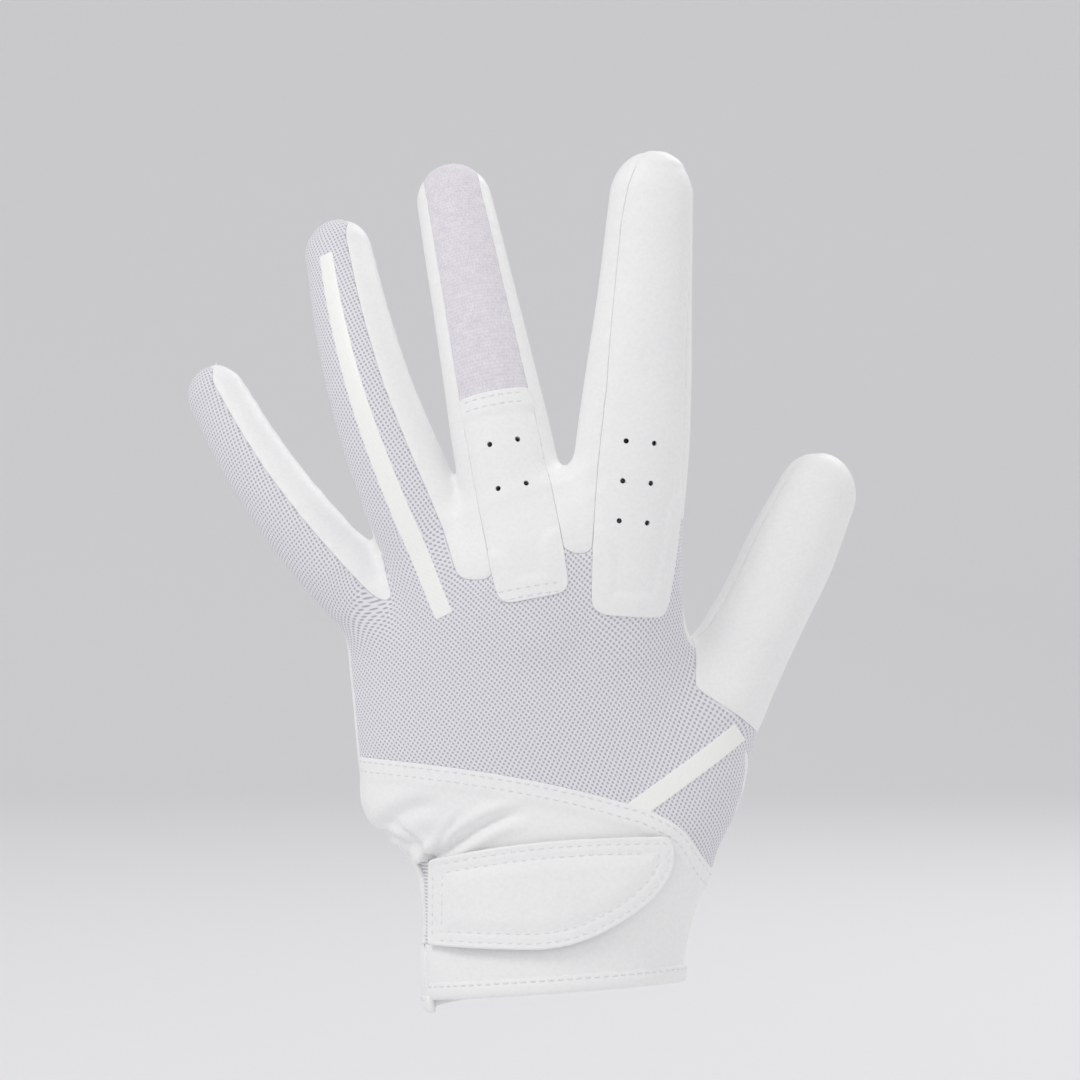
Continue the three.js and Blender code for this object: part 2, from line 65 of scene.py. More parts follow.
MM = 0.001
WALL = 1.0
SEAM_ROLL = 0.28  # radius to which the edge of a turned seam bends over
LAP_ROLL = 0.22  # the same of a cut edge that lies on top of another panel
SEAM_GAP = 0.015  # from a seam's line to each panel's edge
DRAWN_IN = 2.2  # how far from an edge its corners move for the roll
HEM_HEIGHT = 4.4
HEM_SWELL = 0.8
HOLE_DIAMETER = 1.3
GRID_STEP = 0.8  # between neighbouring points of leather and mesh
SNAP = 0.36  # share of a step within which a free corner moves onto a cut
SNAP_MARKED = 0.25  # the same for a corner that lies on an earlier cut
PLATE_ENDS = (-14, 38)  # along the middle finger
DIP = dict(depth=0.22, width=1.3)  # of a panel towards a turned seam
PUCKER = dict(height=0.12, away=1, width=1.4, size=3.1)  # beside a turned seam
LAP = dict(rise=0.4, flat=4.2, end=6.6)  # of a panel over the one it laps
STITCH_PITCH = 2.3
CUFF_ROWS = (1.1, 3.5)  # stitch rows, from the edge inwards
TAB_ROWS = (1.5, 3.9)
PLATE_ROWS = (1.2, 3.4)
NET_PITCH = (1.3, 1.5)  # between the mesh's pores, across and along
RIB_PITCH = 0.9  # between the elastic's ribs
TAPE_THICK = 0.4
TAPE_LIFT = 0.28

PALMAR = 125  # degrees from a finger's back to the seam of its front
ULNAR_SEAM = 278  # degrees round the hand from the middle of its back
FLAP_SEAM = 290  # the same below the tab, where the palm laps round the slit
RADIAL_SEAM = 90
HEM_ANGLES = {"back": (FLAP_SEAM - 359, RADIAL_SEAM - 0.6), "palm": (RADIAL_SEAM, FLAP_SEAM)}
TIP_CAP = 3.2  # radius of the fingertip's top, which belongs to the finger's front

# Sections of the hand: z, x, y, tilt, half width, half depth, arch, lean
BODY = np.array([
    (-9, 0, 0, 4, 31.8, 23, 0, 0),
    (9, -1.3, 0, 4, 34.1, 22.5, 0, 0),
    (18, 0.4, 0, 4, 34.7, 21.8, 0, 0),
    (27, 1.9, 0, 4, 36.8, 21.2, 0, 0),
    (34, 2.3, 0.5, 4, 38.8, 21, 0.5, 0),
    (41, 1.6, 1, 5, 43, 20.8, 1, 0),
    (49, -1.4, 1.5, 6, 47.4, 20.4, 2, 0),
    (62, -6, 1, 8, 45, 19.4, 3, -1),
    (80, -9.5, -0.5, 11, 43.5, 17.6, 5, -3),
    (98, -11.5, -2.5, 14, 43.2, 16, 7, -5.5),
    (112, -12, -4, 17, 41.5, 13.6, 8.5, -7),
    (123, -12.5, -4.2, 19, 39, 9.6, 8.8, -7.2),
])
BODY_DOME = 4

# Digits: the knuckle, three turns in degrees, the length, and rows of
# (along, bend, half width, half depth)
DIGITS = {
    "index": dict(
        knuckle=(16.5, -5, 112), splay=4.6, pitch=-5, roll=8, length=100.5,
        rows=[(-22, 0, 12, 10.5), (0, 0, 14, 12), (24, 1, 14.4, 12), (42, 3, 13.5, 11.4),
              (64, 6, 11.9, 10.5), (88, 9, 10.7, 9.2)],
    ),
    "middle": dict(
        knuckle=(-8.9, -5, 112), splay=-10.6, pitch=5, roll=2, length=107,
        rows=[(-22, 0, 11.5, 10.5), (0, 0, 12.6, 12), (27, 2, 12.7, 11.6), (46, 8, 11.8, 11),
              (66, 15, 10.9, 10), (82, 20, 10.3, 9.4), (96, 23, 9.7, 8.6)],
    ),
    "ring": dict(
        knuckle=(-30, 0.5, 108), splay=-28, pitch=7, roll=-26, length=100,
        rows=[(-20, 0, 10.5, 10), (0, 0, 12.4, 11.6), (26, 3, 12.2, 11.4), (44, 9, 11.3, 10.6),
              (66, 18, 10.2, 9.6), (90, 25, 9.1, 8.3)],
    ),
    "little": dict(
        knuckle=(-46.5, 7.5, 97), splay=-50, pitch=8, roll=-38, length=80,
        rows=[(-18, 0, 9, 9), (0, 0, 10, 10), (22, 3, 9.8, 9.6), (37, 9, 9.3, 9),
              (53, 15, 8.8, 8.3), (71, 21, 8.1, 7.5)],
    ),
    "thumb": dict(
        knuckle=(24, 7, 46), splay=36, pitch=11, roll=32, length=104,
        rows=[(-6, 0, 14, 13), (10, 0, 17, 15), (26, 0, 15.4, 14), (40, -1, 13.2, 12.4),
              (58, 2, 12, 11.2), (76, 6, 12.2, 10.8), (92, 8, 11, 9.4)],
    ),
}
FINGERS = ("index", "middle", "ring", "little")

# Webs: the bottom of each, the two digits it joins, and how far it reaches down on the back
WEBS = {
    "index_middle": dict(right="index", left="middle", place=(1.4, -4, 128.5), deep=14),
    "middle_ring": dict(right="middle", left="ring", place=(-23.5, -3, 119), deep=11),
    "ring_little": dict(right="ring", left="little", place=(-47.5, 4, 110.5), deep=8),
}

# Angle of each side seam on a finger's back by the length along it
SIDE_SEAMS = {
    "index": dict(
        low=[(8, -43), (40, -43), (60, -49), (82, -50), (90, -44), (96, -30), (101, -12)],
        high=[(8, 64), (30, 57), (53, 57), (73, 68), (85, 80), (100, 90)],
    ),
    "middle": dict(low=[(0, -47), (90, -48)], high=[(0, 50), (40, 47), (90, 48)]),
    "ring": dict(low=[(0, -62), (90, -62)], high=[(0, 48), (90, 48)]),
    "little": dict(low=[(0, -90), (90, -90)], high=[(0, 48), (90, 48)]),
}

CUFF_SEAM = np.array([
    (60, 22), (41, 28), (36.5, 34), (32, 40.6), (25, 45.4),
    (14, 49.2), (0, 52.8), (-16, 55.8), (-34, 58), (-60, 59.6),
])
HEMS = {
    "back": dict(drop=0, tilt=4, pitch=4),
    "palm": dict(drop=1.5, tilt=6.6, pitch=0),
}

# The tab's outline from its sewn end's upper corner: curves as two handles and an end
TAB = dict(
    start=(-31.7, 12.3), sewn_end=(-31.7, 34),
    curves=[
        ((-13.7, 38.6), (3.8, 40), (25.8, 40)),
        ((27.3, 39.8), (28, 38.1), (28, 35)),
        ((28, 28), (19.5, 21.2), (10.5, 16.6)),
        ((3.5, 13), (-3, 12.3), (-9, 12.3)),
    ],
)
ELASTIC = dict(left=-81.4, near=-64, right=-32, bottom=12.2, top=33.2,
               edge=[(9, -33.4), (11, -33.9), (24.5, -33.8), (30, -34.2), (32.5, -34.9),
                     (36.5, -40.6), (40, -44)])
PAD = dict(low=(-11.5, 20.4), high=(16.6, 33.1))
LOW_STRIPE = dict(x=17.5, z=45.4, dx=29, dz=20, width=5)
RING_STRIPE = dict(start=-14, end=86, low=-2, high=20)
AIR_HOLES = {
    "index": dict(start=7.6, rows=3, pitch=9.8, spread=3.6),
    "middle": dict(start=14.5, rows=2, pitch=10.8, spread=3.6),
}

# Creases in the leather over the little-finger side of the wrist: depth, width, and x, z points
CREASES = [
    (1.5, 1.3, [(-32.2, 33.6), (-29.5, 34.8), (-26, 37.9), (-21.5, 41), (-16.6, 43.8),
                (-12.1, 45.5), (-5.5, 46.8)]),
    (0.8, 0.9, [(-32.2, 33.6), (-30.4, 36.5), (-28.6, 39.8), (-26, 43.3), (-23.3, 46.4)]),
    (1.0, 0.8, [(-32.4, 33.8), (-34.4, 37.4), (-36.7, 39.7), (-39.8, 41.7), (-43, 42.6)]),
    (0.9, 1.9, [(-42.9, 42.3), (-40, 44.8), (-36.7, 46.4), (-32.2, 47.7), (-28, 48.2)]),
    (0.8, 0.8, [(-32.6, 33.6), (-35.8, 37), (-39.3, 38.8), (-45.1, 39.9), (-49, 41)]),
]


def unit(vectors):
    """Each row divided by its length."""
    return vectors / np.linalg.norm(vectors, axis=-1, keepdims=True)


def summed(which, rows, count):
    """Rows of three values added up by the number that each one has."""
    return np.stack([np.bincount(which, rows[:, i], count) for i in range(3)], 1)


def edges_of(triangles):
    """The three directed edges of each triangle, one after another."""
    return triangles[:, [0, 1, 1, 2, 2, 0]].reshape(-1, 2)


def smooth_table(knots, values, at):
    """Cubic Hermite curve through rows of values at the knots; each slope is the one between its
    neighbours, and both ends run on straight."""
    slopes = np.gradient(values, knots, axis=0)
    i = np.clip(np.searchsorted(knots, at) - 1, 0, len(knots) - 2)
    span = (knots[i + 1] - knots[i])[:, None]
    t = (at - knots[i])[:, None] / span
    inside = np.clip(t, 0, 1)
    curve = (
        (2 * inside**3 - 3 * inside**2 + 1) * values[i]
        + (inside**3 - 2 * inside**2 + inside) * span * slopes[i]
        + (3 * inside**2 - 2 * inside**3) * values[i + 1]
        + (inside**3 - inside**2) * span * slopes[i + 1]
    )
    over = np.where(t > 1, t - 1, np.minimum(t, 0)) * span
    return curve + over * np.where(t > 1, slopes[i + 1], slopes[i])


def digit_line(digit):
    """A digit's dense table: a centre line through the rows' centres, each found by walking from
    the knuckle, and the half width and half depth along it."""
    splay, roll = math.radians(digit["splay"]), math.radians(digit["roll"])
    forward = np.array((math.sin(splay), 0, math.cos(splay)))
    flat_right = np.array((math.cos(splay), 0, -math.sin(splay)))
    flat_normal = np.array((0, -1, 0))
    right = flat_right * math.cos(roll) - flat_normal * math.sin(roll)
    normal = flat_normal * math.cos(roll) + flat_right * math.sin(roll)
    rows = np.array(digit["rows"], float)
    along = rows[:, 0]
    turn = np.radians(digit["pitch"] + rows[:, 1])[:, None]
    direction = forward * np.cos(turn) - normal * np.sin(turn)
    start = int(np.argmax(along >= 0))
    steps = np.diff(along)[:, None] * np.where(np.arange(1, len(along))[:, None] <= start,
                                               direction[:-1], direction[1:])
    centres = np.vstack([np.zeros(3), np.cumsum(steps, 0)])
    centres += np.array(digit["knuckle"]) + direction[start] * along[start] - centres[start]
    at = np.arange(along[0] - 30, digit["length"] + 30, 0.5)
    centre = smooth_table(along, centres, at)
    held = np.clip(at, along[0], along[-1])
    sizes = smooth_table(along, rows[:, 2:], held)
    way = unit(np.gradient(centre, axis=0))
    return dict(
        at=at, centre=centre.T, way=way.T, back=unit(np.cross(right, way)).T, right=right,
        wide=sizes[:, 0], deep=sizes[:, 1], first=along[0], last=along[-1],
        dome=digit["length"] - along[-1], forward=forward, start=centres[start],
        middle=centre[len(at) // 2], reach=digit["length"] / 2 + 40,
    )


def body_line():
    """The hand's dense table, by the height of each section's centre."""
    at = np.arange(-30, 150, 0.5)
    held = np.clip(at, BODY[0, 0], BODY[-1, 0])
    table = smooth_table(BODY[:, 0], BODY[:, 1:], held)
    tilt = np.radians(table[:, 2])
    zero = np.zeros_like(tilt)
    return dict(
        at=at, centre=np.stack([table[:, 0], table[:, 1], at]),
        right_at=np.stack([np.cos(tilt), zero, np.sin(tilt)]),
        way=np.stack([-np.sin(tilt), zero, np.cos(tilt)]),
        wide=table[:, 3], deep=table[:, 4], arch=table[:, 5], lean=table[:, 6],
        first=-40.0, last=BODY[-1, 0], dome=BODY_DOME,
    )


def pick(line, name, at):
    """One column of a dense table at some lengths: a number or a vector for each."""
    column = line[name]
    if column.ndim == 1:
        return np.interp(at, line["at"], column)
    return np.stack([np.interp(at, line["at"], c) for c in column], -1)


LINES = {name: digit_line(digit) for name, digit in DIGITS.items()}
LINES["body"] = body_line()


def ring_place(line, along, across, out):
    """Place round a centre line: length along it, angle from the back in degrees, and the
    distance from the surface, first order, as (q - 1) / |gradient of q| for the ellipse q = 1,
    closed by a dome past each end; tip is more than 0 in the small cap on the dome's top."""
    wide, deep = pick(line, "wide", along), pick(line, "deep", along)
    over = np.where(along > line["last"], (along - line["last"]) / line["dome"],
                    np.maximum(line["first"] - along, 0) / line["dome"])
    q = np.sqrt((across / wide) ** 2 + (out / deep) ** 2 + over**2)
    slope = np.sqrt((across / wide**2) ** 2 + (out / deep**2) ** 2 + (over / line["dome"]) ** 2)
    return dict(
        along=along, angle=np.degrees(np.arctan2(across / wide, out / deep)),
        off=(q - 1) * q / (slope + 1e-5), radius=np.sqrt((wide**2 + deep**2) / 2),
        across=across, wide=wide, deep=deep,
        tip=np.minimum(TIP_CAP - np.hypot(across, out), along - line["last"] - line["dome"] / 2),
    )


def digit_place(name, points):
    """A digit's ring_place: the length is found by stepping along the centre line until the
    point is square to it."""
    line = LINES[name]
    along = (points - line["start"]) @ line["forward"] + max(line["first"], 0)
    for _ in range(4):
        along += ((points - pick(line, "centre", along)) * pick(line, "way", along)).sum(-1)
    away = points - pick(line, "centre", along)
    out = (away * pick(line, "back", along)).sum(-1)
    return ring_place(line, along, away @ line["right"], out)


def body_place(points):
    """The hand's ring_place, with each section straightened by its arch and lean first."""
    line = LINES["body"]
    level = points[:, 2].copy()
    for _ in range(4):
        level += ((points - pick(line, "centre", level)) * pick(line, "way", level)).sum(-1)
    away = points - pick(line, "centre", level)
    across = (away * pick(line, "right_at", level)).sum(-1)
    share = np.clip(across / pick(line, "wide", level), -1, 1)
    out = -away[:, 1] + pick(line, "arch", level) * share**2 + pick(line, "lean", level) * share
    return ring_place(line, level, across, out)


FAR_AWAY = dict(along=-99, angle=0, off=60, radius=12, across=99, wide=12, deep=12, tip=-99)


def survey(points):
    """Every digit's and the hand's place for some points; far from a digit, only a large
    distance."""
    found = {}
    for name in DIGITS:
        line = LINES[name]
        near = np.linalg.norm(points - line["middle"], axis=1) < line["reach"]
        place = {key: np.full(len(points), value, float)
                 for key, value in FAR_AWAY.items()}
        if near.any():
            for key, value in digit_place(name, points[near]).items():
                place[key][near] = value
        found[name] = place
    found["body"] = body_place(points)
    return found


def blend_low(a, b, reach):
    """The lower of two distances, with their valley filled smoothly over a reach."""
    share = np.clip(0.5 + 0.5 * (b - a) / reach, 0, 1)
    return b * (1 - share) + a * share - reach * share * (1 - share)


def glove_field(points):
    """Distance from the glove's surface: the fingers joined closely, then hand and thumb."""
    found = survey(points)
    fingers = found["index"]["off"]
    for name in FINGERS[1:]:
        fingers = blend_low(fingers, found[name]["off"], 3)
    hand = blend_low(fingers, found["body"]["off"], 5)
    return blend_low(hand, found["thumb"]["off"], 9)


def gradient(field, points, step=0.15):
    """Slope of a field by differences over a small step."""
    slope = np.empty_like(points)
    for axis in range(3):
        shift = np.zeros(3)
        shift[axis] = step
        slope[:, axis] = (field(points + shift) - field(points - shift)) / (2 * step)
    return slope


def settle(points, field=glove_field, level=0.0, turns=2):
    """Points moved along the field's slope until it has the level there."""
    for _ in range(turns):
        slope = gradient(field, points)
        size = np.maximum((slope**2).sum(1, keepdims=True), 0.2)
        points = points - (field(points) - level)[:, None] * slope / size
    return points


def outwards(points):
    """The way out of the glove at each point."""
    return unit(gradient(glove_field, points))


def near_grid(field, low, high, step):
    """The field on a regular grid, worked out only in the coarse blocks that the surface may
    cross, and given a coarse value elsewhere."""
    block = 5
    counts = np.ceil((high - low) / (step * block)).astype(int)
    axes = [low[a] + step * block * (np.arange(counts[a]) + 0.5) for a in range(3)]
    middles = np.stack(np.meshgrid(*axes, indexing="ij"), -1).reshape(-1, 3)
    coarse = field(middles)
    crossed = np.abs(coarse) < step * block * 1.6
    fine = np.repeat(coarse, block**3).reshape(*counts, block, block, block)
    offsets = (np.stack(np.meshgrid(*[np.arange(block)] * 3, indexing="ij"), -1)
               .reshape(-1, 3) - (block - 1) / 2) * step
    inside = (middles[crossed][:, None] + offsets).reshape(-1, 3)
    fine.reshape(-1, block**3)[crossed] = field(inside).reshape(-1, block**3)
    grid = fine.transpose(0, 3, 1, 4, 2, 5).reshape(*(counts * block))
    return grid, low + step / 2


def surface_net(grid, origin, step):
    """A net over the grid's zero surface: one corner in each cell that the surface crosses, at
    the mean of its crossings of the cell's edges, and one face round each crossed grid edge."""
    inside = grid < 0
    shape = np.array(grid.shape) - 1
    units = np.eye(3, dtype=int)
    corners = [np.array(c) for c in np.ndindex(2, 2, 2)]
    count = sum(
        inside[c[0]:c[0] + shape[0], c[1]:c[1] + shape[1], c[2]:c[2] + shape[2]].astype(np.int8)
        for c in corners
    )
    cells = np.argwhere((count > 0) & (count < 8))
    total = np.zeros((len(cells), 3))
    crossings = np.zeros(len(cells))
    for axis in range(3):
        for corner in corners:
            if corner[axis] == 0:
                a = grid[tuple((cells + corner).T)]
                b = grid[tuple((cells + corner + units[axis]).T)]
                crossed = (a < 0) != (b < 0)
                share = np.where(crossed, a, 0) / np.where(crossed, a - b, 1)
                total += np.where(crossed[:, None], corner + share[:, None] * units[axis], 0)
                crossings += crossed
    points = origin + step * (cells + total / crossings[:, None])
    number = np.full(tuple(shape), -1, np.int32)
    number[tuple(cells.T)] = np.arange(len(cells))
    faces = []
    for axis in range(3):
        one, two = units[(axis + 1) % 3], units[(axis + 2) % 3]
        ends = [slice(None)] * 3
        ends[axis] = slice(0, -1)
        starts = [slice(None)] * 3
        starts[axis] = slice(1, None)
        edges = np.argwhere(inside[tuple(ends)] != inside[tuple(starts)])
        fits = ((edges - one - two >= 0) & (edges < shape)).all(1)
        edges = edges[fits]
        quads = np.stack(
            [number[tuple((edges - shift).T)] for shift in (0 * one, one, one + two, two)], 1
        )
        outward = inside[tuple(edges.T)]
        quads[~outward] = quads[~outward][:, ::-1]
        faces.append(quads)
    faces = np.vstack(faces)
    return points, faces[(faces >= 0).all(1)]


def relaxed(points, faces, turns=3):
    """The net evened out: each corner goes to the mean of its neighbours, then back to the
    surface."""
    a = faces.ravel()
    b = np.roll(faces, -1, 1).ravel()
    degree = np.bincount(a, minlength=len(points)) + np.bincount(b, minlength=len(points))
    for _ in range(turns):
        total = summed(a, points[b], len(points)) + summed(b, points[a], len(points))
        points = settle(total / degree[:, None], turns=1)
    return points


def fall(distance, width):
    """1 at an edge, falling smoothly as a bell curve over a width."""
    return np.exp(-(distance / width) ** 2)


def ramp(value, low, high):
    """0 below low, 1 over high, and a smooth step between them."""
    share = np.clip((value - low) / (high - low), 0, 1)
    return share * share * (3 - 2 * share)


# Regions: distance in millimetres from each region's edge, more than 0 inside it

def turn_from(place, angle):
    """Degrees from an angle round a digit or the hand, from -180 to 180."""
    return (place["angle"] - angle + 180) % 360 - 180


def sector(place, start, end, low, high):
    """Part of a digit's wall between two lengths and two angles. Angles count as arc length at
    the digit's mean radius, and the region stands 4 mm out of its surface."""
    arc = np.radians((high - low) / 2 - np.abs(turn_from(place, (low + high) / 2)))
    along = np.minimum(place["along"] - start, end - place["along"])
    return np.minimum.reduce([arc * place["radius"], along, 4 - place["off"]])


def cuff_height(points):
    """How far points lie under the cuff's upper seam, seen from the back of the hand, measured
    square to it: the seam's curve is read at each x, and the drop is scaled by its slope."""
    order = np.argsort(CUFF_SEAM[:, 0])
    at = np.linspace(-60, 60, 241)
    line = smooth_table(CUFF_SEAM[order, 0], CUFF_SEAM[order, 1:], at)[:, 0]
    slope = np.gradient(line, at)
    x = points[:, 0]
    drop = np.interp(x, at, line) - points[:, 2]
    return drop / np.sqrt(1 + np.interp(x, at, slope) ** 2)


def hem_height(points, drop, tilt, pitch):
    """Height over a hem's lower edge, a plane tilted both ways."""
    tilt, pitch = math.radians(tilt), math.radians(pitch)
    normal = np.array((-math.sin(tilt), math.cos(tilt) * math.sin(pitch),
                       math.cos(tilt) * math.cos(pitch)))
    return points @ normal + drop


def past_seam(place, name, side):
    """Distance sideways past a finger's side seam, away from the finger's back: flat across the
    finger's back, where it keeps the seam straight through the webs, and arc length further
    round."""
    sign = 1 if side == "high" else -1
    table = np.array(SIDE_SEAMS[name][side], float)
    seam = np.interp(place["along"], table[:, 0], table[:, 1])
    arc = sign * np.radians(turn_from(place, seam)) * place["radius"]
    flat = sign * place["across"] - place["wide"] * np.abs(np.sin(np.radians(seam)))
    share = ramp(np.abs(place["angle"]), 66, 84) * ramp(place["along"], 2, 14)
    return flat + (arc - flat) * share * (1 - ramp(place["off"], 6, 12))


def finger_back(place, name, start, end):
    """The back of a finger between its side seams and two lengths, with rounded corners at its
    start."""
    sides = np.minimum(-past_seam(place, name, "low"), -past_seam(place, name, "high"))
    back = np.radians(100 - np.abs(place["angle"])) * place["radius"]
    return np.minimum.reduce([
        blend_low(sides, place["along"] - start, 3), end - place["along"], back, -place["tip"]])


def web_region(found, points, web):
    """The side gussets of two neighbouring fingers and the web between them: past both
    fingers' side seams, short of their front seams, and down to an edge that lies lower on the
    back of the hand than on the palm."""
    right, left = found[web["right"]], found[web["left"]]
    past_right = past_seam(right, web["right"], "low")
    past_left = past_seam(left, web["left"], "high")
    share = ramp(left["off"] - right["off"], -3, 3)
    front = (np.radians(turn_from(right, -PALMAR)) * right["radius"] * share
             - np.radians(turn_from(left, PALMAR)) * left["radius"] * (1 - share))
    x, y, z = web["place"]
    deep = web["deep"] * (1 - ramp(points[:, 1], y - 2, y + 10)) + 4
    beside = 12 - np.minimum(right["off"], left["off"])
    sides = blend_low(np.minimum(past_right, past_left), points[:, 2] - z + deep, 2.5)
    return np.minimum.reduce([sides, front, beside, -right["tip"], -left["tip"]])


def thumb_region(found, low, high):
    """Half of the thumb past its seam, as far as the fold between it and the hand."""
    half = sector(found["thumb"], 30, 116, low, high)
    return blend_low(half, found["body"]["off"] - found["thumb"]["off"] + 3, 4)


def gusset_region(place):
    """The thumb side of the index finger, from its side seam to its front seam."""
    to_front = -np.radians(turn_from(place, PALMAR)) * place["radius"]
    side = blend_low(past_seam(place, "index", "high"), place["along"] - 8, 2.5)
    return np.minimum.reduce([side, to_front, 5 - place["off"], -place["tip"]])


def beside_elastic(points):
    """How far points at the tab's height lie to the left of the elastic's left edge."""
    x, _, z = points.T
    edge = np.interp(z, *np.array(ELASTIC["edge"]).T)
    return np.minimum.reduce([edge - x, z - 10.5, 40 - z])


def palm_region(found, points):
    """The palm side of the hand from seam to seam, with the fronts of the four fingers. Under
    the tab's foot the seam steps towards the back of the hand."""
    body = found["body"]
    ulnar = ULNAR_SEAM + (FLAP_SEAM - ULNAR_SEAM) * (1 - ramp(points[:, 2], 9.5, 12.3))
    around = body["angle"] % 360
    halves = np.minimum(ulnar - around, around - RADIAL_SEAM)
    parts = [np.minimum(np.radians(halves) * body["radius"], 5 - body["off"])]
    parts += [sector(found[name], -10, 116, PALMAR, 360 - PALMAR) for name in FINGERS[:3]]
    parts.append(sector(found["little"], -10, 116, PALMAR, 270))
    parts += [np.minimum(found[name]["tip"], 4 - found[name]["off"]) for name in FINGERS]
    ball = dict(found["thumb"], off=found["thumb"]["off"] - 8)
    hand = -blend_low(-parts[0], -sector(ball, -20, 40, 90, 270), 12)
    strip = np.minimum.reduce([beside_elastic(points), -points[:, 1], 5 - body["off"]])
    return np.maximum.reduce(parts + [hand, strip])


def elastic_region(found, points):
    """The slot between the palm's edge and the tab's sewn end."""
    x, y, z = points.T
    from_palm = np.radians(turn_from(found["body"], ELASTIC["left"])) * found["body"]["radius"]
    return np.minimum.reduce([
        from_palm, ELASTIC["right"] + 1.2 - x, -y, z - ELASTIC["bottom"], ELASTIC["top"] - z])


# Panels in the order in which they are parted from the skin, with their regions. Each takes
# what the ones before it have left, so the knit's region may start under the plate's.
REGIONS = {
    "thumb_front": lambda p, f: thumb_region(f, 90, 270),
    "thumb_back": lambda p, f: thumb_region(f, -90, 90),
    "fourchette_index_middle": lambda p, f: web_region(f, p, WEBS["index_middle"]),
    "fourchette_middle_ring": lambda p, f: web_region(f, p, WEBS["middle_ring"]),
    "fourchette_ring_little": lambda p, f: web_region(f, p, WEBS["ring_little"]),
    "index_side_gusset": lambda p, f: gusset_region(f["index"]),
    "index_back": lambda p, f: finger_back(f["index"], "index", -16, 116),
    "middle_knuckle_plate": lambda p, f: finger_back(f["middle"], "middle", *PLATE_ENDS),
    "middle_back_knit": lambda p, f: finger_back(f["middle"], "middle", PLATE_ENDS[1] - 8, 116),
    "palm_leather": lambda p, f: palm_region(f, p),
    "elastic_insert": lambda p, f: elastic_region(f, p),
    "cuff_back": lambda p, f: cuff_height(p),
}
LAPPED = ("index_back", "middle_knuckle_plate", "cuff_back")
MARKS = {name: 1 << i for i, name in enumerate([*REGIONS, "hem", "hole"])}

# The glove's skin, from which every panel is parted

LOW = np.array((-118.0, -34, -8))
HIGH = np.array((86.0, 52, 222))
net_points, net_faces = surface_net(*near_grid(glove_field, LOW, HIGH, GRID_STEP), GRID_STEP)
net_points = relaxed(net_points, net_faces)
skin = dict(points=net_points, marks=np.zeros(len(net_points), int))


def halves(quads):
    """Each quad as two triangles."""
    return np.vstack([quads[:, [0, 1, 2]], quads[:, [0, 2, 3]]])


def part(net, triangles, field, mark, step=GRID_STEP):
    """Triangles parted where a field falls to 0: those above 0, and the others. Free corners
    close to the line move onto it along the skin first."""
    points, marks = net["points"], net["marks"]
    used = np.unique(triangles)
    value = np.full(len(points), -9.0)
    value[used] = field(points[used])
    near = used[np.abs(value[used]) < 2 * step]
    slope = gradient(field, points[near])
    size = np.maximum((slope**2).sum(1), 0.1)
    free = marks[near] == 0
    close = np.abs(value[near]) / np.sqrt(size) < np.where(free, SNAP, SNAP_MARKED) * step
    moved = close & free
    points[near[moved]] -= (value[near] / size)[moved, None] * slope[moved]
    points[near[moved]] = settle(points[near[moved]], turns=1)
    value[near[close]] = 0
    marks[near[close]] |= mark
    return divide(net, triangles, value, mark)


def divide(net, triangles, value, mark):
    """Triangles cut along the line where a value at the corners is 0: those above it and those
    below. Each edge that crosses the line gets a new corner with the seam's mark."""
    points, marks = net["points"], net["marks"]
    inside = value > 0
    count = inside[triangles].sum(1)
    mixed = triangles[(count == 1) | (count == 2)]
    one = inside[mixed].sum(1) == 1
    odd = np.where(one, np.argmax(inside[mixed], 1), np.argmin(inside[mixed], 1))
    a, b, c = mixed[np.arange(len(mixed))[:, None], (odd[:, None] + np.arange(3)) % 3].T
    pairs = np.sort(np.vstack([np.stack([a, b], 1), np.stack([a, c], 1)]), 1)
    pairs, where = np.unique(pairs, axis=0, return_inverse=True)
    first, second = pairs.T
    share = value[first] / (value[first] - value[second])
    number = len(points) + np.arange(len(pairs))
    number = np.where(value[first] == 0, first, np.where(value[second] == 0, second, number))
    ab, ac = number[where.ravel()].reshape(2, -1)
    fresh = points[first] + share[:, None] * (points[second] - points[first])
    net["points"] = np.vstack([points, fresh])
    net["marks"] = np.concatenate([marks, (marks[first] & marks[second]) | mark])
    tip = np.stack([a, ab, ac], 1)
    rest = np.stack([np.stack([ab, b, c], 1), np.stack([ab, c, ac], 1)], 1)
    above = np.vstack([triangles[count == 3], tip[one], rest[~one].reshape(-1, 3)])
    below = np.vstack([triangles[count == 0], tip[~one], rest[one].reshape(-1, 3)])
    return whole(above), whole(below)


def whole(triangles):
    """The triangles with three different corners."""
    a, b, c = triangles.T
    return triangles[(a != b) & (b != c) & (c != a)]


def packed(points, triangles):
    """Only the corners that triangles use, renumbered, and which they were."""
    used, where = np.unique(triangles, return_inverse=True)
    return points[used], where.reshape(triangles.shape), used


def split(points, triangles):
    """Each triangle as four, with new corners in the middles of its edges."""
    pairs = np.sort(edges_of(triangles), 1)
    pairs, where = np.unique(pairs, axis=0, return_inverse=True)
    middle = where.reshape(-1, 3) + len(points)
    a, b, c = triangles.T
    ab, bc, ca = middle.T
    return pairs, np.vstack([np.stack(t, 1) for t in (
        (a, ab, ca), (ab, b, bc), (ca, bc, c), (ab, bc, ca))])


def edge_loop(triangles):
    """Directed edges that only one face uses."""
    edges = edges_of(triangles)
    key = edges[:, 0].astype(np.int64) * (triangles.max() + 1) + edges[:, 1]
    back = edges[:, 1].astype(np.int64) * (triangles.max() + 1) + edges[:, 0]
    return edges[~np.isin(key, back)]


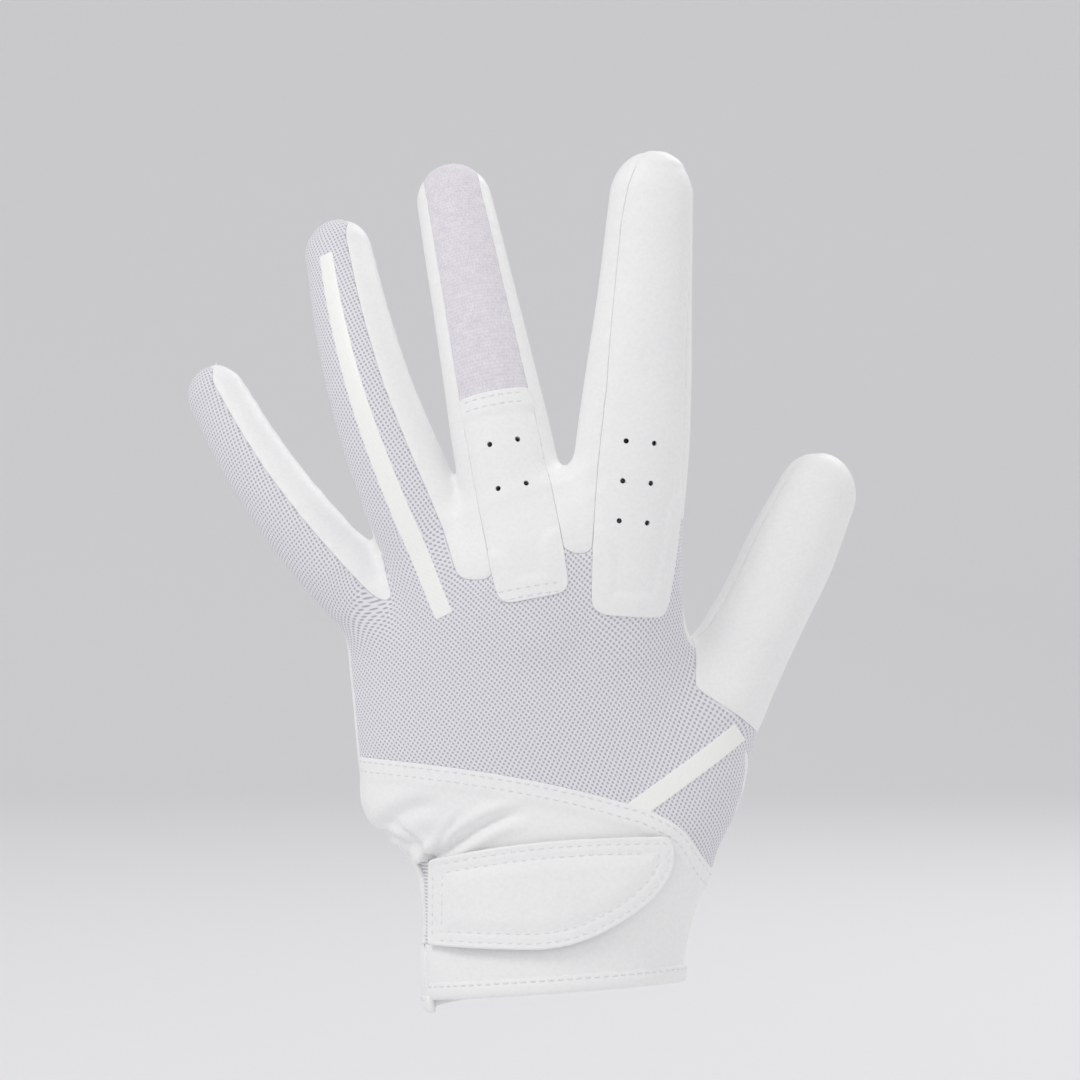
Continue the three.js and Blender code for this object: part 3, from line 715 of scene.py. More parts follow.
def neighbours(points, triangles):
    """Pairs of triangles that share an edge, and the edge's length."""
    edges = np.sort(edges_of(triangles), 1)
    key = edges[:, 0] * len(points) + edges[:, 1]
    order = np.argsort(key, kind="stable")
    same = np.flatnonzero(key[order][1:] == key[order][:-1])
    ends = points[edges[order[same]]]
    return order[same] // 3, order[same + 1] // 3, np.linalg.norm(ends[:, 0] - ends[:, 1], axis=1)


def components(count, one, two):
    """A number for each triangle, the same for all that hang together: the lowest number of a
    triangle, handed on over shared edges until nothing changes."""
    label = np.arange(count)
    while True:
        fresh = label.copy()
        lowest = np.minimum(label[one], label[two])
        for target in (one, two, label[one], label[two]):
            np.minimum.at(fresh, target, lowest)
        fresh = fresh[fresh]
        if (fresh == label).all():
            return label
        label = fresh


def adopt_scraps(points, panels, least=60):
    """Scraps of a few triangles that the parting leaves at a seam go to the panel that they
    share the longest edge with, and those that touch none are dropped."""
    triangles = np.vstack(list(panels.values()))
    owner = np.repeat(np.arange(len(panels)), [len(t) for t in panels.values()])
    one, two, length = neighbours(points, triangles)
    same = owner[one] == owner[two]
    label = components(len(triangles), one[same], two[same])
    _, group, count = np.unique(label, return_inverse=True, return_counts=True)
    owner[count[group] < least] = -1
    for _ in range(4):
        shared = np.zeros((len(count), len(panels)))
        for scrap, home in ((one, two), (two, one)):
            meets = (owner[scrap] < 0) & (owner[home] >= 0)
            np.add.at(shared, (group[scrap[meets]], owner[home[meets]]), length[meets])
        found = (owner < 0) & (shared[group].max(1) > 0)
        owner[found] = shared[group[found]].argmax(1)
    owner = without_ears(owner, one, two, len(panels))
    return {name: triangles[owner == i] for i, name in enumerate(panels)}


def without_ears(owner, one, two, count, turns=3):
    """Each triangle's panel, after those that border one other panel along two of their three
    edges have gone over to it, so that no sliver is left on a seam."""
    for _ in range(turns):
        borders = np.zeros((len(owner), count))
        for here, there in ((one, two), (two, one)):
            meets = (owner[here] != owner[there]) & (owner[here] >= 0) & (owner[there] >= 0)
            np.add.at(borders, (here[meets], owner[there[meets]]), 1)
        ears = borders.max(1) >= 2
        owner = np.where(ears, borders.argmax(1), owner)
    return owner


def eased(points, panels, turns=10):
    """Every corner drawn towards the middle of its neighbours, and those on a seam only towards
    their neighbours along it, so that the seams run smoothly. Corners where three panels meet
    stay."""
    seam = np.unique(np.vstack([np.sort(edge_loop(t), 1) for t in panels.values()]), axis=0)
    meeting = np.bincount(seam.ravel(), minlength=len(points))
    every = np.unique(np.sort(edges_of(np.vstack(list(panels.values()))), 1), axis=0)
    inner = every[(meeting[every] == 0).any(1)]
    both = np.vstack([seam, seam[:, ::-1], inner, inner[:, ::-1]])
    both = both[(meeting[both[:, 0]] == 0) | (np.arange(len(both)) < 2 * len(seam))]
    count = np.maximum(np.bincount(both[:, 0], minlength=len(points)), 1)
    free = (meeting == 0) | (meeting == 2)
    for _ in range(turns):
        total = summed(both[:, 0], points[both[:, 1]], len(points))
        points = points + np.where(free & (count > 1), 0.5, 0)[:, None] * (
            total / count[:, None] - points)
    return points


rest = halves(net_faces)
panels = {}
for name, region in REGIONS.items():
    panels[name], rest = part(skin, rest, lambda p: region(p, survey(p)), MARKS[name])
panels["back_mesh"] = rest
panels = adopt_scraps(skin["points"], panels)
skin["points"] = settle(eased(skin["points"], panels))
del panels["elastic_insert"]


# Making meshes

def corner_normals(points, triangles):
    """Mean of the faces' normals at each corner, weighed by area."""
    a, b, c = points[triangles].transpose(1, 0, 2)
    across = np.cross(b - a, c - a)
    return unit(summed(triangles.ravel(), np.repeat(across, 3, 0), len(points)) + 1e-12)


def edge_ways(points, triangles, out):
    """The corners of a sheet's edge, the edge renumbered for them, and the way out of the sheet
    at each: square to the edge and to the sheet's normal."""
    edges = edge_loop(triangles)
    way = np.cross(points[edges[:, 1]] - points[edges[:, 0]], out[edges[:, 0]] + out[edges[:, 1]])
    rim, number = np.unique(edges, return_inverse=True)
    number = number.reshape(edges.shape)
    total = summed(number.ravel(), np.repeat(way, 2, 0), len(rim))
    total -= (total * out[rim]).sum(1, keepdims=True) * out[rim]
    return rim, number, edges, unit(total + 1e-12)


def shell(points, triangles, thick, roll=0.3, rows=4):
    """A sheet given its thickness inwards. Its edge bends over along a quarter round of the
    roll's radius, from the sheet's face to the way out of the sheet, then drops straight to the
    sheet's inner side."""
    out = corner_normals(points, triangles)
    rim, number, edges, way = edge_ways(points, triangles, out)
    roll = np.broadcast_to(roll, len(points))[rim, None]
    count = len(points)
    layers = [points, points - out * thick]
    for turn in np.linspace(0, math.pi / 2, rows + 1)[1:]:
        layers.append(points[rim] + way * roll * math.sin(turn)
                      - out[rim] * roll * (1 - math.cos(turn)))
    layers.append(points[rim] + way * roll - out[rim] * thick)
    faces = [triangles, triangles[:, ::-1] + count]
    for k in range(rows + 2):
        first = edges if k == 0 else number + 2 * count + (k - 1) * len(rim)
        second = edges + count if k == rows + 1 else number + 2 * count + k * len(rim)
        (a, b), (d, c) = first.T, second.T
        faces += [np.stack([b, a, c], 1), np.stack([a, d, c], 1)]
    source = np.concatenate([np.arange(count), np.arange(count), np.tile(rim, rows + 1)])
    return np.vstack(layers), np.vstack(faces), source


def make_piece(name, points, faces, node, slot, material, flat=None):
    """A finished piece from corners in millimetres: smooth faces, a map in millimetres along
    the cloth if flat is given, its material, body and node; the slot is not used."""
    mesh = bpy.data.meshes.new(name)
    sides = faces.shape[1]
    mesh.vertices.add(len(points))
    mesh.vertices.foreach_set("co", (points * MM).astype(np.float32).ravel())
    mesh.loops.add(faces.size)
    mesh.loops.foreach_set("vertex_index", faces.astype(np.int32).ravel())
    mesh.polygons.add(len(faces))
    mesh.polygons.foreach_set("loop_start", np.arange(0, faces.size, sides, dtype=np.int32))
    mesh.update(calc_edges=True)
    mesh.polygons.foreach_set("use_smooth", np.ones(len(faces), bool))
    if flat is not None:
        layer = mesh.uv_layers.new(name="cloth")
        layer.data.foreach_set("uv", flat[faces.ravel()].astype(np.float32).ravel())
    mesh.validate()
    mesh.materials.append(material)
    piece = bpy.data.objects.new(name, mesh)
    bpy.context.scene.collection.objects.link(piece)
    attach(piece, "root")
    if node:
        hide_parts(node)
    return piece


# Relief: how far each panel stands out of the skin

def nearest(points, spots):
    """Distance to the nearest of some spots, and which it is, a few thousand points at a
    time."""
    size = (spots**2).sum(1)
    which = np.concatenate([
        (size - 2 * points[start:start + 4000] @ spots.T).argmin(1)
        for start in range(0, len(points), 4000)
    ])
    return np.linalg.norm(points - spots[which], axis=1), which


def seam_kind(panel, mark):
    """How a panel ends at a seam: turned in, lapped on top, lying under, or plain."""
    if mark & (MARKS["hem"] | MARKS["hole"]):
        return "plain"
    owners = [name for name in LAPPED if mark & MARKS[name]]
    if panel in owners:
        return "lapped"
    if owners and panel in ("back_mesh", "middle_back_knit"):
        return "under"
    return "turned"


def seam_spots(points, marks, triangles, panel):
    """Points every half edge along a panel's seams, by the kind of seam."""
    edges = edge_loop(triangles)
    shared = marks[edges[:, 0]] & marks[edges[:, 1]]
    lowest = shared & -shared
    spots = {}
    for mark in np.unique(lowest):
        ends = points[edges[lowest == mark]]
        kind = seam_kind(panel, int(mark)) if mark else "plain"
        spots.setdefault(kind, []).append(np.vstack([ends[:, 0], ends.mean(1)]))
    return {kind: np.vstack(parts) for kind, parts in spots.items()}


def wobble(points, size):
    """A smooth uneven wave between about -1 and 1: three sines in different directions."""
    x, y, z = points.T / size
    return (np.sin(4.1 * x + 1.3 * y + 0.4) + np.sin(3.7 * z - 1.9 * x + 2.1)
            + np.sin(4.9 * y + 2.3 * z - 1.2)) / 3


def line_distance(points, line):
    """Distance in the plane from a polyline, and the share of the way along it."""
    best = np.full(len(points), 1e9)
    share = np.zeros(len(points))
    lengths = np.linalg.norm(np.diff(line, axis=0), axis=1)
    ends = np.concatenate([[0], np.cumsum(lengths)]) / lengths.sum()
    for a, b, low, high in zip(line[:-1], line[1:], ends[:-1], ends[1:]):
        t = np.clip(((points - a) @ (b - a)) / ((b - a) @ (b - a)), 0, 1)
        d = np.linalg.norm(points - a - t[:, None] * (b - a), axis=1)
        share = np.where(d < best, low + t * (high - low), share)
        best = np.minimum(best, d)
    return best, share


def creases(points):
    """Creases as valleys with a soft ridge on both sides; each fades out at its far end."""
    total = np.zeros(len(points))
    for depth, width, line in CREASES:
        d, share = line_distance(points[:, [0, 2]], np.array(line))
        shape = 0.55 * fall(d - 2.1 * width, 1.2 * width) - fall(d, width)
        total += depth * shape * (1 - ramp(share, 0.6, 1.0)) * ramp(share, -0.3, 0.08)
    return total * (1 - ramp(points[:, 1], 8, 14))


seams = {}


def relief(panel, points):
    """Height of a panel over the skin: it dips into turned seams, with small puckers along
    them, stands a sheet's thickness higher where it laps over another, and is creased at the
    wrist."""
    height = np.zeros(len(points))
    spots = seams[panel]
    if "turned" in spots:
        d, _ = nearest(points, spots["turned"])
        height += (PUCKER["height"] * fall(d - PUCKER["away"], PUCKER["width"])
                   * wobble(points, PUCKER["size"]) - DIP["depth"] * fall(d, DIP["width"]))
    if "lapped" in spots:
        d, _ = nearest(points, spots["lapped"])
        height += LAP["rise"] * (1 - ramp(d, LAP["flat"], LAP["end"]))
    if panel in ("cuff_back", "palm_leather"):
        height += creases(points)
    return height


def drawn_in(points, triangles, spots):
    """A panel with the corners near its edge moved inwards to leave room for the roll of its
    edge, and the roll's radius at each corner. The move is the roll's radius at the edge and
    falls to nothing with the square of the distance."""
    rolls = {"turned": SEAM_ROLL, "lapped": LAP_ROLL, "under": 0.02, "plain": 0.1}
    out = corner_normals(points, triangles)
    rim, _, _, way = edge_ways(points, triangles, out)
    every = np.vstack(list(spots.values()))
    radius = np.concatenate([np.full(len(s), rolls[kind]) for kind, s in spots.items()])
    distance, which = nearest(points, every)
    roll = radius[which]
    inward = (points - every[which]) / np.maximum(distance, 1e-6)[:, None]
    inward[rim] = -way
    distance[rim] = 0
    share = np.clip(1 - distance / DRAWN_IN, 0, 1) ** 2
    return points + inward * ((roll + SEAM_GAP) * share)[:, None], roll


# Surfaces given by their place

def body_point(angle, level, outset=0.0):
    """Point round the hand: centre + right * (half width + outset) * sin(angle) + back *
    ((half depth + outset) * cos(angle) - arch * sin squared - lean * sin)."""
    line = LINES["body"]
    across, ahead = np.sin(np.radians(angle)), np.cos(np.radians(angle))
    bend = pick(line, "arch", level) * across**2 + pick(line, "lean", level) * across
    sideways = (pick(line, "wide", level) + outset) * across
    outwards = (pick(line, "deep", level) + outset) * ahead - bend
    return (pick(line, "centre", level) + pick(line, "right_at", level) * sideways[..., None]
            - np.array((0, 1.0, 0)) * outwards[..., None])


def digit_point(name, along, angle, outset=0.0):
    """Point round a digit: centre + right * (half width + outset) * sin(angle) + back *
    (half depth + outset) * cos(angle)."""
    line = LINES[name]
    across, ahead = np.sin(np.radians(angle)), np.cos(np.radians(angle))
    return (pick(line, "centre", along)
            + line["right"] * ((pick(line, "wide", along) + outset) * across)[..., None]
            + pick(line, "back", along)
            * ((pick(line, "deep", along) + outset) * ahead)[..., None])


def level_where(measure, angle, value, outset=0.0, start=20.0):
    """The level on each angle's line up the hand at which a measure of the point has a value,
    found by stepping towards it."""
    level = np.full(np.shape(angle), start)
    for _ in range(12):
        here = measure(body_point(angle, level, outset))
        ahead = measure(body_point(angle, level + 0.5, outset))
        slope = np.where(np.abs(ahead - here) < 0.02, 0.5, ahead - here)
        level += np.clip((value - here) * 0.5 / slope, -8, 8)
    return level


def front_face(x, z, level=0.0, turns=6):
    """Points of the back of the hand straight behind (x, z) as the viewer sees it, at a
    distance from the skin."""
    points = np.stack([x, np.full_like(x, -26.0), z], -1)
    for _ in range(turns):
        value = glove_field(points)
        ahead = glove_field(points + np.array((0, 0.2, 0)))
        slope = np.minimum((ahead - value) / 0.2, -0.25)
        points[:, 1] += np.clip((level - value) / slope, -6, 6)
    return points


def grid_faces(rows, sides, closed=False):
    """Quads over a grid of corners, numbered row by row."""
    i, j = np.meshgrid(np.arange(rows - 1), np.arange(sides - (not closed)), indexing="ij")
    a = (i * sides + j).ravel()
    b = (i * sides + (j + 1) % sides).ravel()
    return np.stack([a, b, b + sides, a + sides], 1)


def facing_out(points, triangles):
    """The triangles, turned round if they face into the glove."""
    sample = triangles[:: max(1, len(triangles) // 200)]
    middles = points[sample].mean(1)
    a, b, c = points[sample].transpose(1, 0, 2)
    outward = (np.cross(b - a, c - a) * gradient(glove_field, middles)).sum()
    return triangles if outward > 0 else triangles[:, ::-1]


def tube(rings):
    """A closed skin over rings of corners, with a fan over each end."""
    count, sides = rings.shape[:2]
    points = np.vstack([rings.reshape(-1, 3), rings[0].mean(0), rings[-1].mean(0)])
    faces = halves(grid_faces(count, sides, closed=True))
    i = np.arange(sides)
    last = (count - 1) * sides
    ends = [np.stack([np.full(sides, count * sides), (i + 1) % sides, i], 1),
            np.stack([np.full(sides, count * sides + 1), last + i, last + (i + 1) % sides], 1)]
    return points, np.vstack([faces] + ends)


def hem_rings(which, low, high, sides=28, rows=300):
    """The hem: a flattened round profile carried round the cuff along its tilted lower edge.
    The profile is a superellipse in height and outset, and closes over its last 1.5 mm."""
    angle = np.linspace(low, high, rows)[:, None] + np.zeros(sides)
    turn = np.linspace(0, 2 * np.pi, sides, endpoint=False)
    tall = np.sign(np.sin(turn)) * np.abs(np.sin(turn)) ** 0.8
    thick = np.sign(np.cos(turn)) * np.abs(np.cos(turn)) ** 0.8
    ends = np.minimum(np.abs(angle - low), np.abs(high - angle)) * 0.5
    scale = np.sqrt(1 - (1 - np.clip(ends / 1.5, 0.02, 1)) ** 2)
    height = HEM_HEIGHT / 2 * (1 + tall * scale)
    swell = (HEM_SWELL + WALL + 0.4) / 2
    outset = HEM_SWELL - swell + swell * thick * scale
    outset -= 0.22 * fall(height - 3.5, 0.45) * (thick > 0)
    level = np.full(angle.shape, 3.0)
    for _ in range(8):
        points = body_point(angle, level, outset)
        level += height - hem_height(points.reshape(-1, 3), **HEMS[which]).reshape(angle.shape)
    return body_point(angle, level, outset)


def outline_distance(points, outline):
    """Signed distance in the plane from a closed outline, more than 0 inside."""
    best, _ = line_distance(points, np.vstack([outline, outline[:1]]))
    a, b = outline, np.roll(outline, -1, 0)
    x, z = points[:, 0][:, None], points[:, 1][:, None]
    crosses = (a[:, 1] > z) != (b[:, 1] > z)
    rise = np.where(b[:, 1] == a[:, 1], 1, b[:, 1] - a[:, 1])
    left = x < (b[:, 0] - a[:, 0]) * (z - a[:, 1]) / rise + a[:, 0]
    return np.where((crosses & left).sum(1) % 2, best, -best)


def bezier(a, b, c, d, count=24):
    """Cubic curve from a to d with b and c as its handles, without its last point."""
    t = np.linspace(0, 1, count, endpoint=False)[:, None]
    a, b, c, d = (np.array(p, float) for p in (a, b, c, d))
    return a * (1 - t)**3 + 3 * b * t * (1 - t)**2 + 3 * c * t**2 * (1 - t) + d * t**3


def tab_outline():
    """The tab's edge: up its sewn end, then over the curves of its table and back."""
    start, end = (np.array(TAB[key], float) for key in ("start", "sewn_end"))
    parts = [start + (end - start) * np.linspace(0, 1, 24, endpoint=False)[:, None]]
    for leave, arrive, stop in TAB["curves"]:
        parts.append(bezier(end, leave, arrive, stop, 30))
        end = np.array(stop, float)
    parts.append(end + (start - end) * np.linspace(0, 1, 24, endpoint=False)[:, None])
    return np.vstack(parts)


def plane_net(low, high, step):
    """A flat net of quads over a rectangle of the viewer's plane."""
    x = np.arange(low[0], high[0], step)
    z = np.arange(low[1], high[1], step)
    grid = np.stack(np.meshgrid(x, z, indexing="ij"), -1).reshape(-1, 2)
    return grid, grid_faces(len(x), len(z))


def cut_plane(grid, triangles, field, step):
    """A flat net cut where a field falls to 0. Corners close to the line move onto it first."""
    value = field(grid)
    slope = np.stack([field(grid + s) - field(grid - s) for s in np.eye(2) * 0.05], 1) / 0.1
    close = np.abs(value) < SNAP * step
    grid = grid - np.where(close, value, 0)[:, None] * slope
    flat = dict(points=np.column_stack([grid, 0 * value]), marks=np.ones(len(grid), int))
    value[close] = 0
    keep, _ = divide(flat, triangles, value, 1)
    points, triangles, _ = packed(flat["points"], keep)
    return points[:, :2], triangles


def tab_net(inset, step=0.6):
    """The tab's face: a flat net cut to its outline, a little inside it."""
    outline = tab_outline()
    grid, quads = plane_net(outline.min(0) - 1, outline.max(0) + 1, step)
    return cut_plane(grid, halves(quads), lambda p: outline_distance(p, outline) - inset, step)


def tab_height(flat):
    """The tab's outer face over the skin: over the pad in its middle, lower at the sewn end,
    with a valley along each row of stitches and a rounded edge."""
    inset = outline_distance(flat, tab_outline())
    rise = 1.75 + 0.9 * ramp(flat[:, 0], TAB["start"][0], TAB["start"][0] + 9)
    cushion = 0.5 * ramp(inset, 3.6, 7.5)
    rows = 0.16 * sum(fall(inset - row, 0.5) for row in TAB_ROWS)
    return rise + cushion - rows


def even(path, spacing, start=0.5):
    """Points every so many millimetres along a path, with the path's direction there."""
    steps = np.linalg.norm(np.diff(path, axis=0), axis=1)
    run = np.concatenate([[0], np.cumsum(steps)])
    at = np.arange(spacing * start, run[-1] - spacing * 0.3, spacing)
    spots = np.stack([np.interp(at, run, path[:, i]) for i in range(3)], -1)
    ahead = np.stack([np.interp(at + 0.3, run, path[:, i]) for i in range(3)], -1)
    behind = np.stack([np.interp(at - 0.3, run, path[:, i]) for i in range(3)], -1)
    return spots, unit(ahead - behind)


def stitches(spots, ahead, out, length=1.6, thick=0.38):
    """One rounded stitch at each spot: 5 rings of 6 corners, thick in the middle and drawn down
    into the leather at both ends."""
    out = unit(out - (out * ahead).sum(1, keepdims=True) * ahead)
    side = np.cross(ahead, out)
    t = np.array((-1, -0.72, 0, 0.72, 1.0))
    girth = np.array((0.35, 0.85, 1, 0.85, 0.35)) * thick / 2
    rise = np.array((-0.2, -0.02, 0.06, -0.02, -0.2))
    turn = np.linspace(0, 2 * np.pi, 6, endpoint=False)
    local = np.stack([
        np.repeat(t[:, None] * length / 2, 6, 1),
        girth[:, None] * np.cos(turn),
        rise[:, None] + girth[:, None] * np.sin(turn),
    ], -1).reshape(-1, 3)
    points, faces = tube(local.reshape(5, 6, 3))
    placed = (spots[:, None] + points[None, :, :1] * ahead[:, None]
              + points[None, :, 1:2] * side[:, None] + points[None, :, 2:] * out[:, None])
    shift = np.arange(len(spots))[:, None, None] * len(points)
    return placed.reshape(-1, 3), (faces[None] + shift).reshape(-1, 3)


def joined(parts):
    """Several nets as one."""
    counts = np.cumsum([0] + [len(p) for p, _ in parts])
    return (np.vstack([p for p, _ in parts]),
            np.vstack([f + n for (_, f), n in zip(parts, counts)]))


# Flat cloth maps

def section_arc(place):
    """Length round a section from its middle line: the ellipse's arc, summed in 24 steps."""
    angle = np.radians(place["angle"])
    turn = angle[:, None] * (np.arange(24) + 0.5) / 24
    step = np.hypot(place["wide"][:, None] * np.cos(turn), place["deep"][:, None] * np.sin(turn))
    return step.mean(1) * angle


def hand_flat(points):
    """The hand's cloth laid flat: arc round the section by height."""
    place = body_place(points)
    return np.stack([section_arc(place), place["along"]], 1)


def mesh_flat(points):
    """The mesh laid flat: arc by height on the hand. On a finger it is arc by length, turned by
    the finger's splay and set on at its knuckle, so that the net runs on as it was cut."""
    flat = hand_flat(points)
    for name in ("ring", "little"):
        place = digit_place(name, points)
        turn = math.radians(DIGITS[name]["splay"])
        arc, along = section_arc(place), place["along"]
        start = hand_flat(digit_point(name, np.zeros(1), np.zeros(1)))
        own = start + np.stack([arc * math.cos(turn) + along * math.sin(turn),
                                along * math.cos(turn) - arc * math.sin(turn)], 1)
        share = ramp(along, -6, 14) * (1 - ramp(place["off"], 1.5, 4))
        flat += (own - flat) * share[:, None]
    return flat


def knit_flat(points):
    """The middle finger's knit laid flat: arc by length."""
    place = digit_place("middle", points)
    return np.stack([section_arc(place), place["along"]], 1)


# Materials

def linear(code):
    """An sRGB hex colour as linear values with alpha."""
    parts = [int(code[i:i + 2], 16) / 255 for i in (1, 3, 5)]
    return [c / 12.92 if c <= 0.04045 else ((c + 0.055) / 1.055) ** 2.4 for c in parts] + [1.0]


def fill(tree, node, inputs):
    """Sets a node's inputs: each is a value or another node's output."""
    for socket, value in dict(inputs).items():
        if isinstance(value, bpy.types.NodeSocket):
            tree.links.new(value, node.inputs[socket])
        else:
            node.inputs[socket].default_value = value


def add(tree, kind, inputs=(), output=0, **settings):
    """Adds a node with its settings and links, and gives back one of its outputs."""
    node = tree.nodes.new("ShaderNode" + kind)
    for key, value in settings.items():
        setattr(node, key, value)
    fill(tree, node, inputs)
    return node.outputs[output]


def made_of(finish):
    """A material with one Principled shader, named for the function that gives its inputs."""
    material = bpy.data.materials.new(finish.__name__)
    material.use_nodes = True
    fill(material.node_tree, material.node_tree.nodes["Principled BSDF"],
         finish(material.node_tree))
    return material


def cloth_axes(tree):
    """The piece's flat cloth map: both directions in millimetres, and both as one vector."""
    flat = add(tree, "UVMap", uv_map="cloth")
    return *(add(tree, "SeparateXYZ", {0: flat}, i) for i in (0, 1)), flat


def wave(tree, value, pitch):
    """A cosine that comes back every so many millimetres."""
    turn = add(tree, "Math", {0: value, 1: 2 * math.pi / pitch}, operation="MULTIPLY")
    return add(tree, "Math", {0: turn}, operation="COSINE")


def net_of_pores(tree, across, along):
    """The mesh's net: a cosine across times a cosine along, 1 in the middle of each pore."""
    waves = {i: wave(tree, value, NET_PITCH[i]) for i, value in enumerate((across, along))}
    return add(tree, "Math", waves, operation="MULTIPLY")


def shaded(tree, share, low, high, one, two):
    """A colour between two, where a share goes from low to high."""
    held = add(tree, "MapRange", {"Value": share, "From Min": low, "From Max": high})
    return add(tree, "Mix", {"Factor": held, 6: linear(one), 7: linear(two)}, 2, data_type="RGBA")


def coated_microfibre_leather(tree):
    """Polyurethane-coated microfibre leather, embossed with a tight pebble grain 0.8 mm wide:
    the eye gets a soft satin white with a fine, hardly shaded grain."""
    place = add(tree, "TexCoord", output="Object")
    pebble = add(tree, "TexVoronoi", {"Vector": place, "Scale": 1250.0}, feature="SMOOTH_F1")
    fine = add(tree, "TexNoise", {"Vector": place, "Scale": 700.0, "Detail": 2.0})
    broad = add(tree, "TexNoise", {"Vector": place, "Scale": 60.0, "Detail": 3.0})
    half = add(tree, "Math", {0: broad, 1: 0.5}, operation="MULTIPLY")
    shade = add(tree, "Math", {0: pebble, 1: 0.5, 2: half}, operation="MULTIPLY_ADD")
    satin = add(tree, "MapRange", {"Value": fine, "From Min": 0.3, "From Max": 0.7,
                                   "To Min": 0.44, "To Max": 0.58})
    raised_grain = add(tree, "Math", {0: pebble, 1: -1.0}, operation="MULTIPLY")
    grain = add(tree, "Bump", {"Height": raised_grain, "Strength": 0.16, "Distance": 0.0002})
    return {
        "Base Color": shaded(tree, shade, 0.2, 0.7, "#FAFAF9", "#F3F3F4"),
        "Roughness": satin, "Sheen Weight": 0.08,
        "Normal": add(tree, "Bump", {"Height": broad, "Strength": 0.1, "Distance": 0.0008,
                                     "Normal": grain}),
    }


def warp_knit_mesh(tree):
    """Warp-knitted polyester: dull off-white yarn in a net of diamonds with a pore in each,
    1.3 mm apart across and 1.5 mm along; each pore is painted darker, as painted shade of the
    inside seen through it."""
    across, along, flat = cloth_axes(tree)
    net = net_of_pores(tree, across, along)
    pore = add(tree, "MapRange", {"Value": net, "From Min": 0.12, "From Max": 0.72})
    yarn = add(tree, "TexNoise", {"Vector": flat, "Scale": 3.0, "Detail": 2.0})
    # the pores' darker colour is painted shade of the inside seen through them; the yarn's noise
    # is its own uneven tone
    shade = add(tree, "Math", {0: yarn, 1: 0.25, 2: pore}, operation="MULTIPLY_ADD")
    twist = add(tree, "Math", {0: yarn, 1: 0.3}, operation="MULTIPLY")
    height = add(tree, "Math", {0: twist, 1: pore}, operation="SUBTRACT")
    return {
        "Base Color": shaded(tree, shade, 0.05, 1.1, "#EFEEF3", "#BBB9C6"),
        "Roughness": 0.85, "Sheen Weight": 0.3,
        "Normal": add(tree, "Bump", {"Height": height, "Strength": 0.6, "Distance": 0.0003}),
    }


def fine_stretch_knit(tree):
    """Single-jersey stretch knit: short upright loops of lilac-white yarn, 0.5 mm wide and
    drawn 0.7 mm wide to show, with the uneven shade of brushed yarn and painted shade darkening
    the valleys between the loops."""
    across, along, flat = cloth_axes(tree)
    slant = add(tree, "Math", {0: across, 1: 0.35}, operation="PINGPONG")
    loops = wave(tree, add(tree, "Math", {0: along, 1: slant}, operation="ADD"), 0.9)
    drawn = add(tree, "Mapping", {"Vector": flat, "Scale": (2.6, 0.9, 1)})
    dashes = add(tree, "TexNoise", {"Vector": drawn, "Scale": 1.0, "Detail": 3.0})
    yarn = add(tree, "TexNoise", {"Vector": flat, "Scale": 0.35, "Detail": 2.0})
    uneven = add(tree, "Math", {0: yarn, 1: 0.4, 2: dashes}, operation="MULTIPLY_ADD")
    # the loops' wave also darkens the colour in the valleys between the loops: painted shade,
    # over the yarn's own uneven tone
    shade = add(tree, "Math", {0: loops, 1: 0.07, 2: uneven}, operation="MULTIPLY_ADD")
    return {
        "Base Color": shaded(tree, shade, 0.35, 1.05, "#D3CCD8", "#F3F0F4"),
        "Roughness": 0.88, "Sheen Weight": 0.35,
        "Normal": add(tree, "Bump", {"Height": shade, "Strength": 0.5, "Distance": 0.0003}),
    }


def bonded_film_tape(tree):
    """Heat-bonded polyurethane film: smooth satin white, with the net under it just showing."""
    across, along, flat = cloth_axes(tree)
    net = net_of_pores(tree, across, along)
    cloud = add(tree, "TexNoise", {"Vector": flat, "Scale": 0.6, "Detail": 2.0})
    return {
        "Base Color": shaded(tree, cloud, 0.0, 1.0, "#FDFDFB", "#F8F8F6"), "Roughness": 0.4,
        "Normal": add(tree, "Bump", {"Height": net, "Strength": 0.12, "Distance": 0.0002}),
    }


def woven_elastic(tree):
    """Woven elastic: ribs 0.9 mm apart over rubber cores, with fine warp threads across them,
    0.4 mm apart: pale ribs, with grey painted between them as painted shade in the hollows."""
    across, along, _ = cloth_axes(tree)
    rib = wave(tree, along, RIB_PITCH)
    height = add(tree, "Math", {0: wave(tree, across, 0.4), 1: 0.3, 2: rib},
                 operation="MULTIPLY_ADD")
    # the grey between the ribs is painted shade in their hollows; the ribs' tops stay pale
    return {
        "Base Color": shaded(tree, rib, -0.9, 0.5, "#D6D5DD", "#FAFAFB"),
        "Roughness": 0.8, "Sheen Weight": 0.2,
        "Normal": add(tree, "Bump", {"Height": height, "Strength": 0.4, "Distance": 0.0002}),
    }


def loop_pile(tree):
    """Hook-and-loop pile: a dull, uneven fluff of nylon loops."""
    place = add(tree, "TexCoord", output="Object")
    loops = add(tree, "TexNoise", {"Vector": place, "Scale": 1500.0, "Detail": 4.0})
    return {
        "Base Color": shaded(tree, loops, 0.3, 0.7, "#C9C9CC", "#EFEFF0"),
        "Roughness": 0.95, "Sheen Weight": 0.5,
        "Normal": add(tree, "Bump", {"Height": loops, "Strength": 0.8, "Distance": 0.0006}),
    }


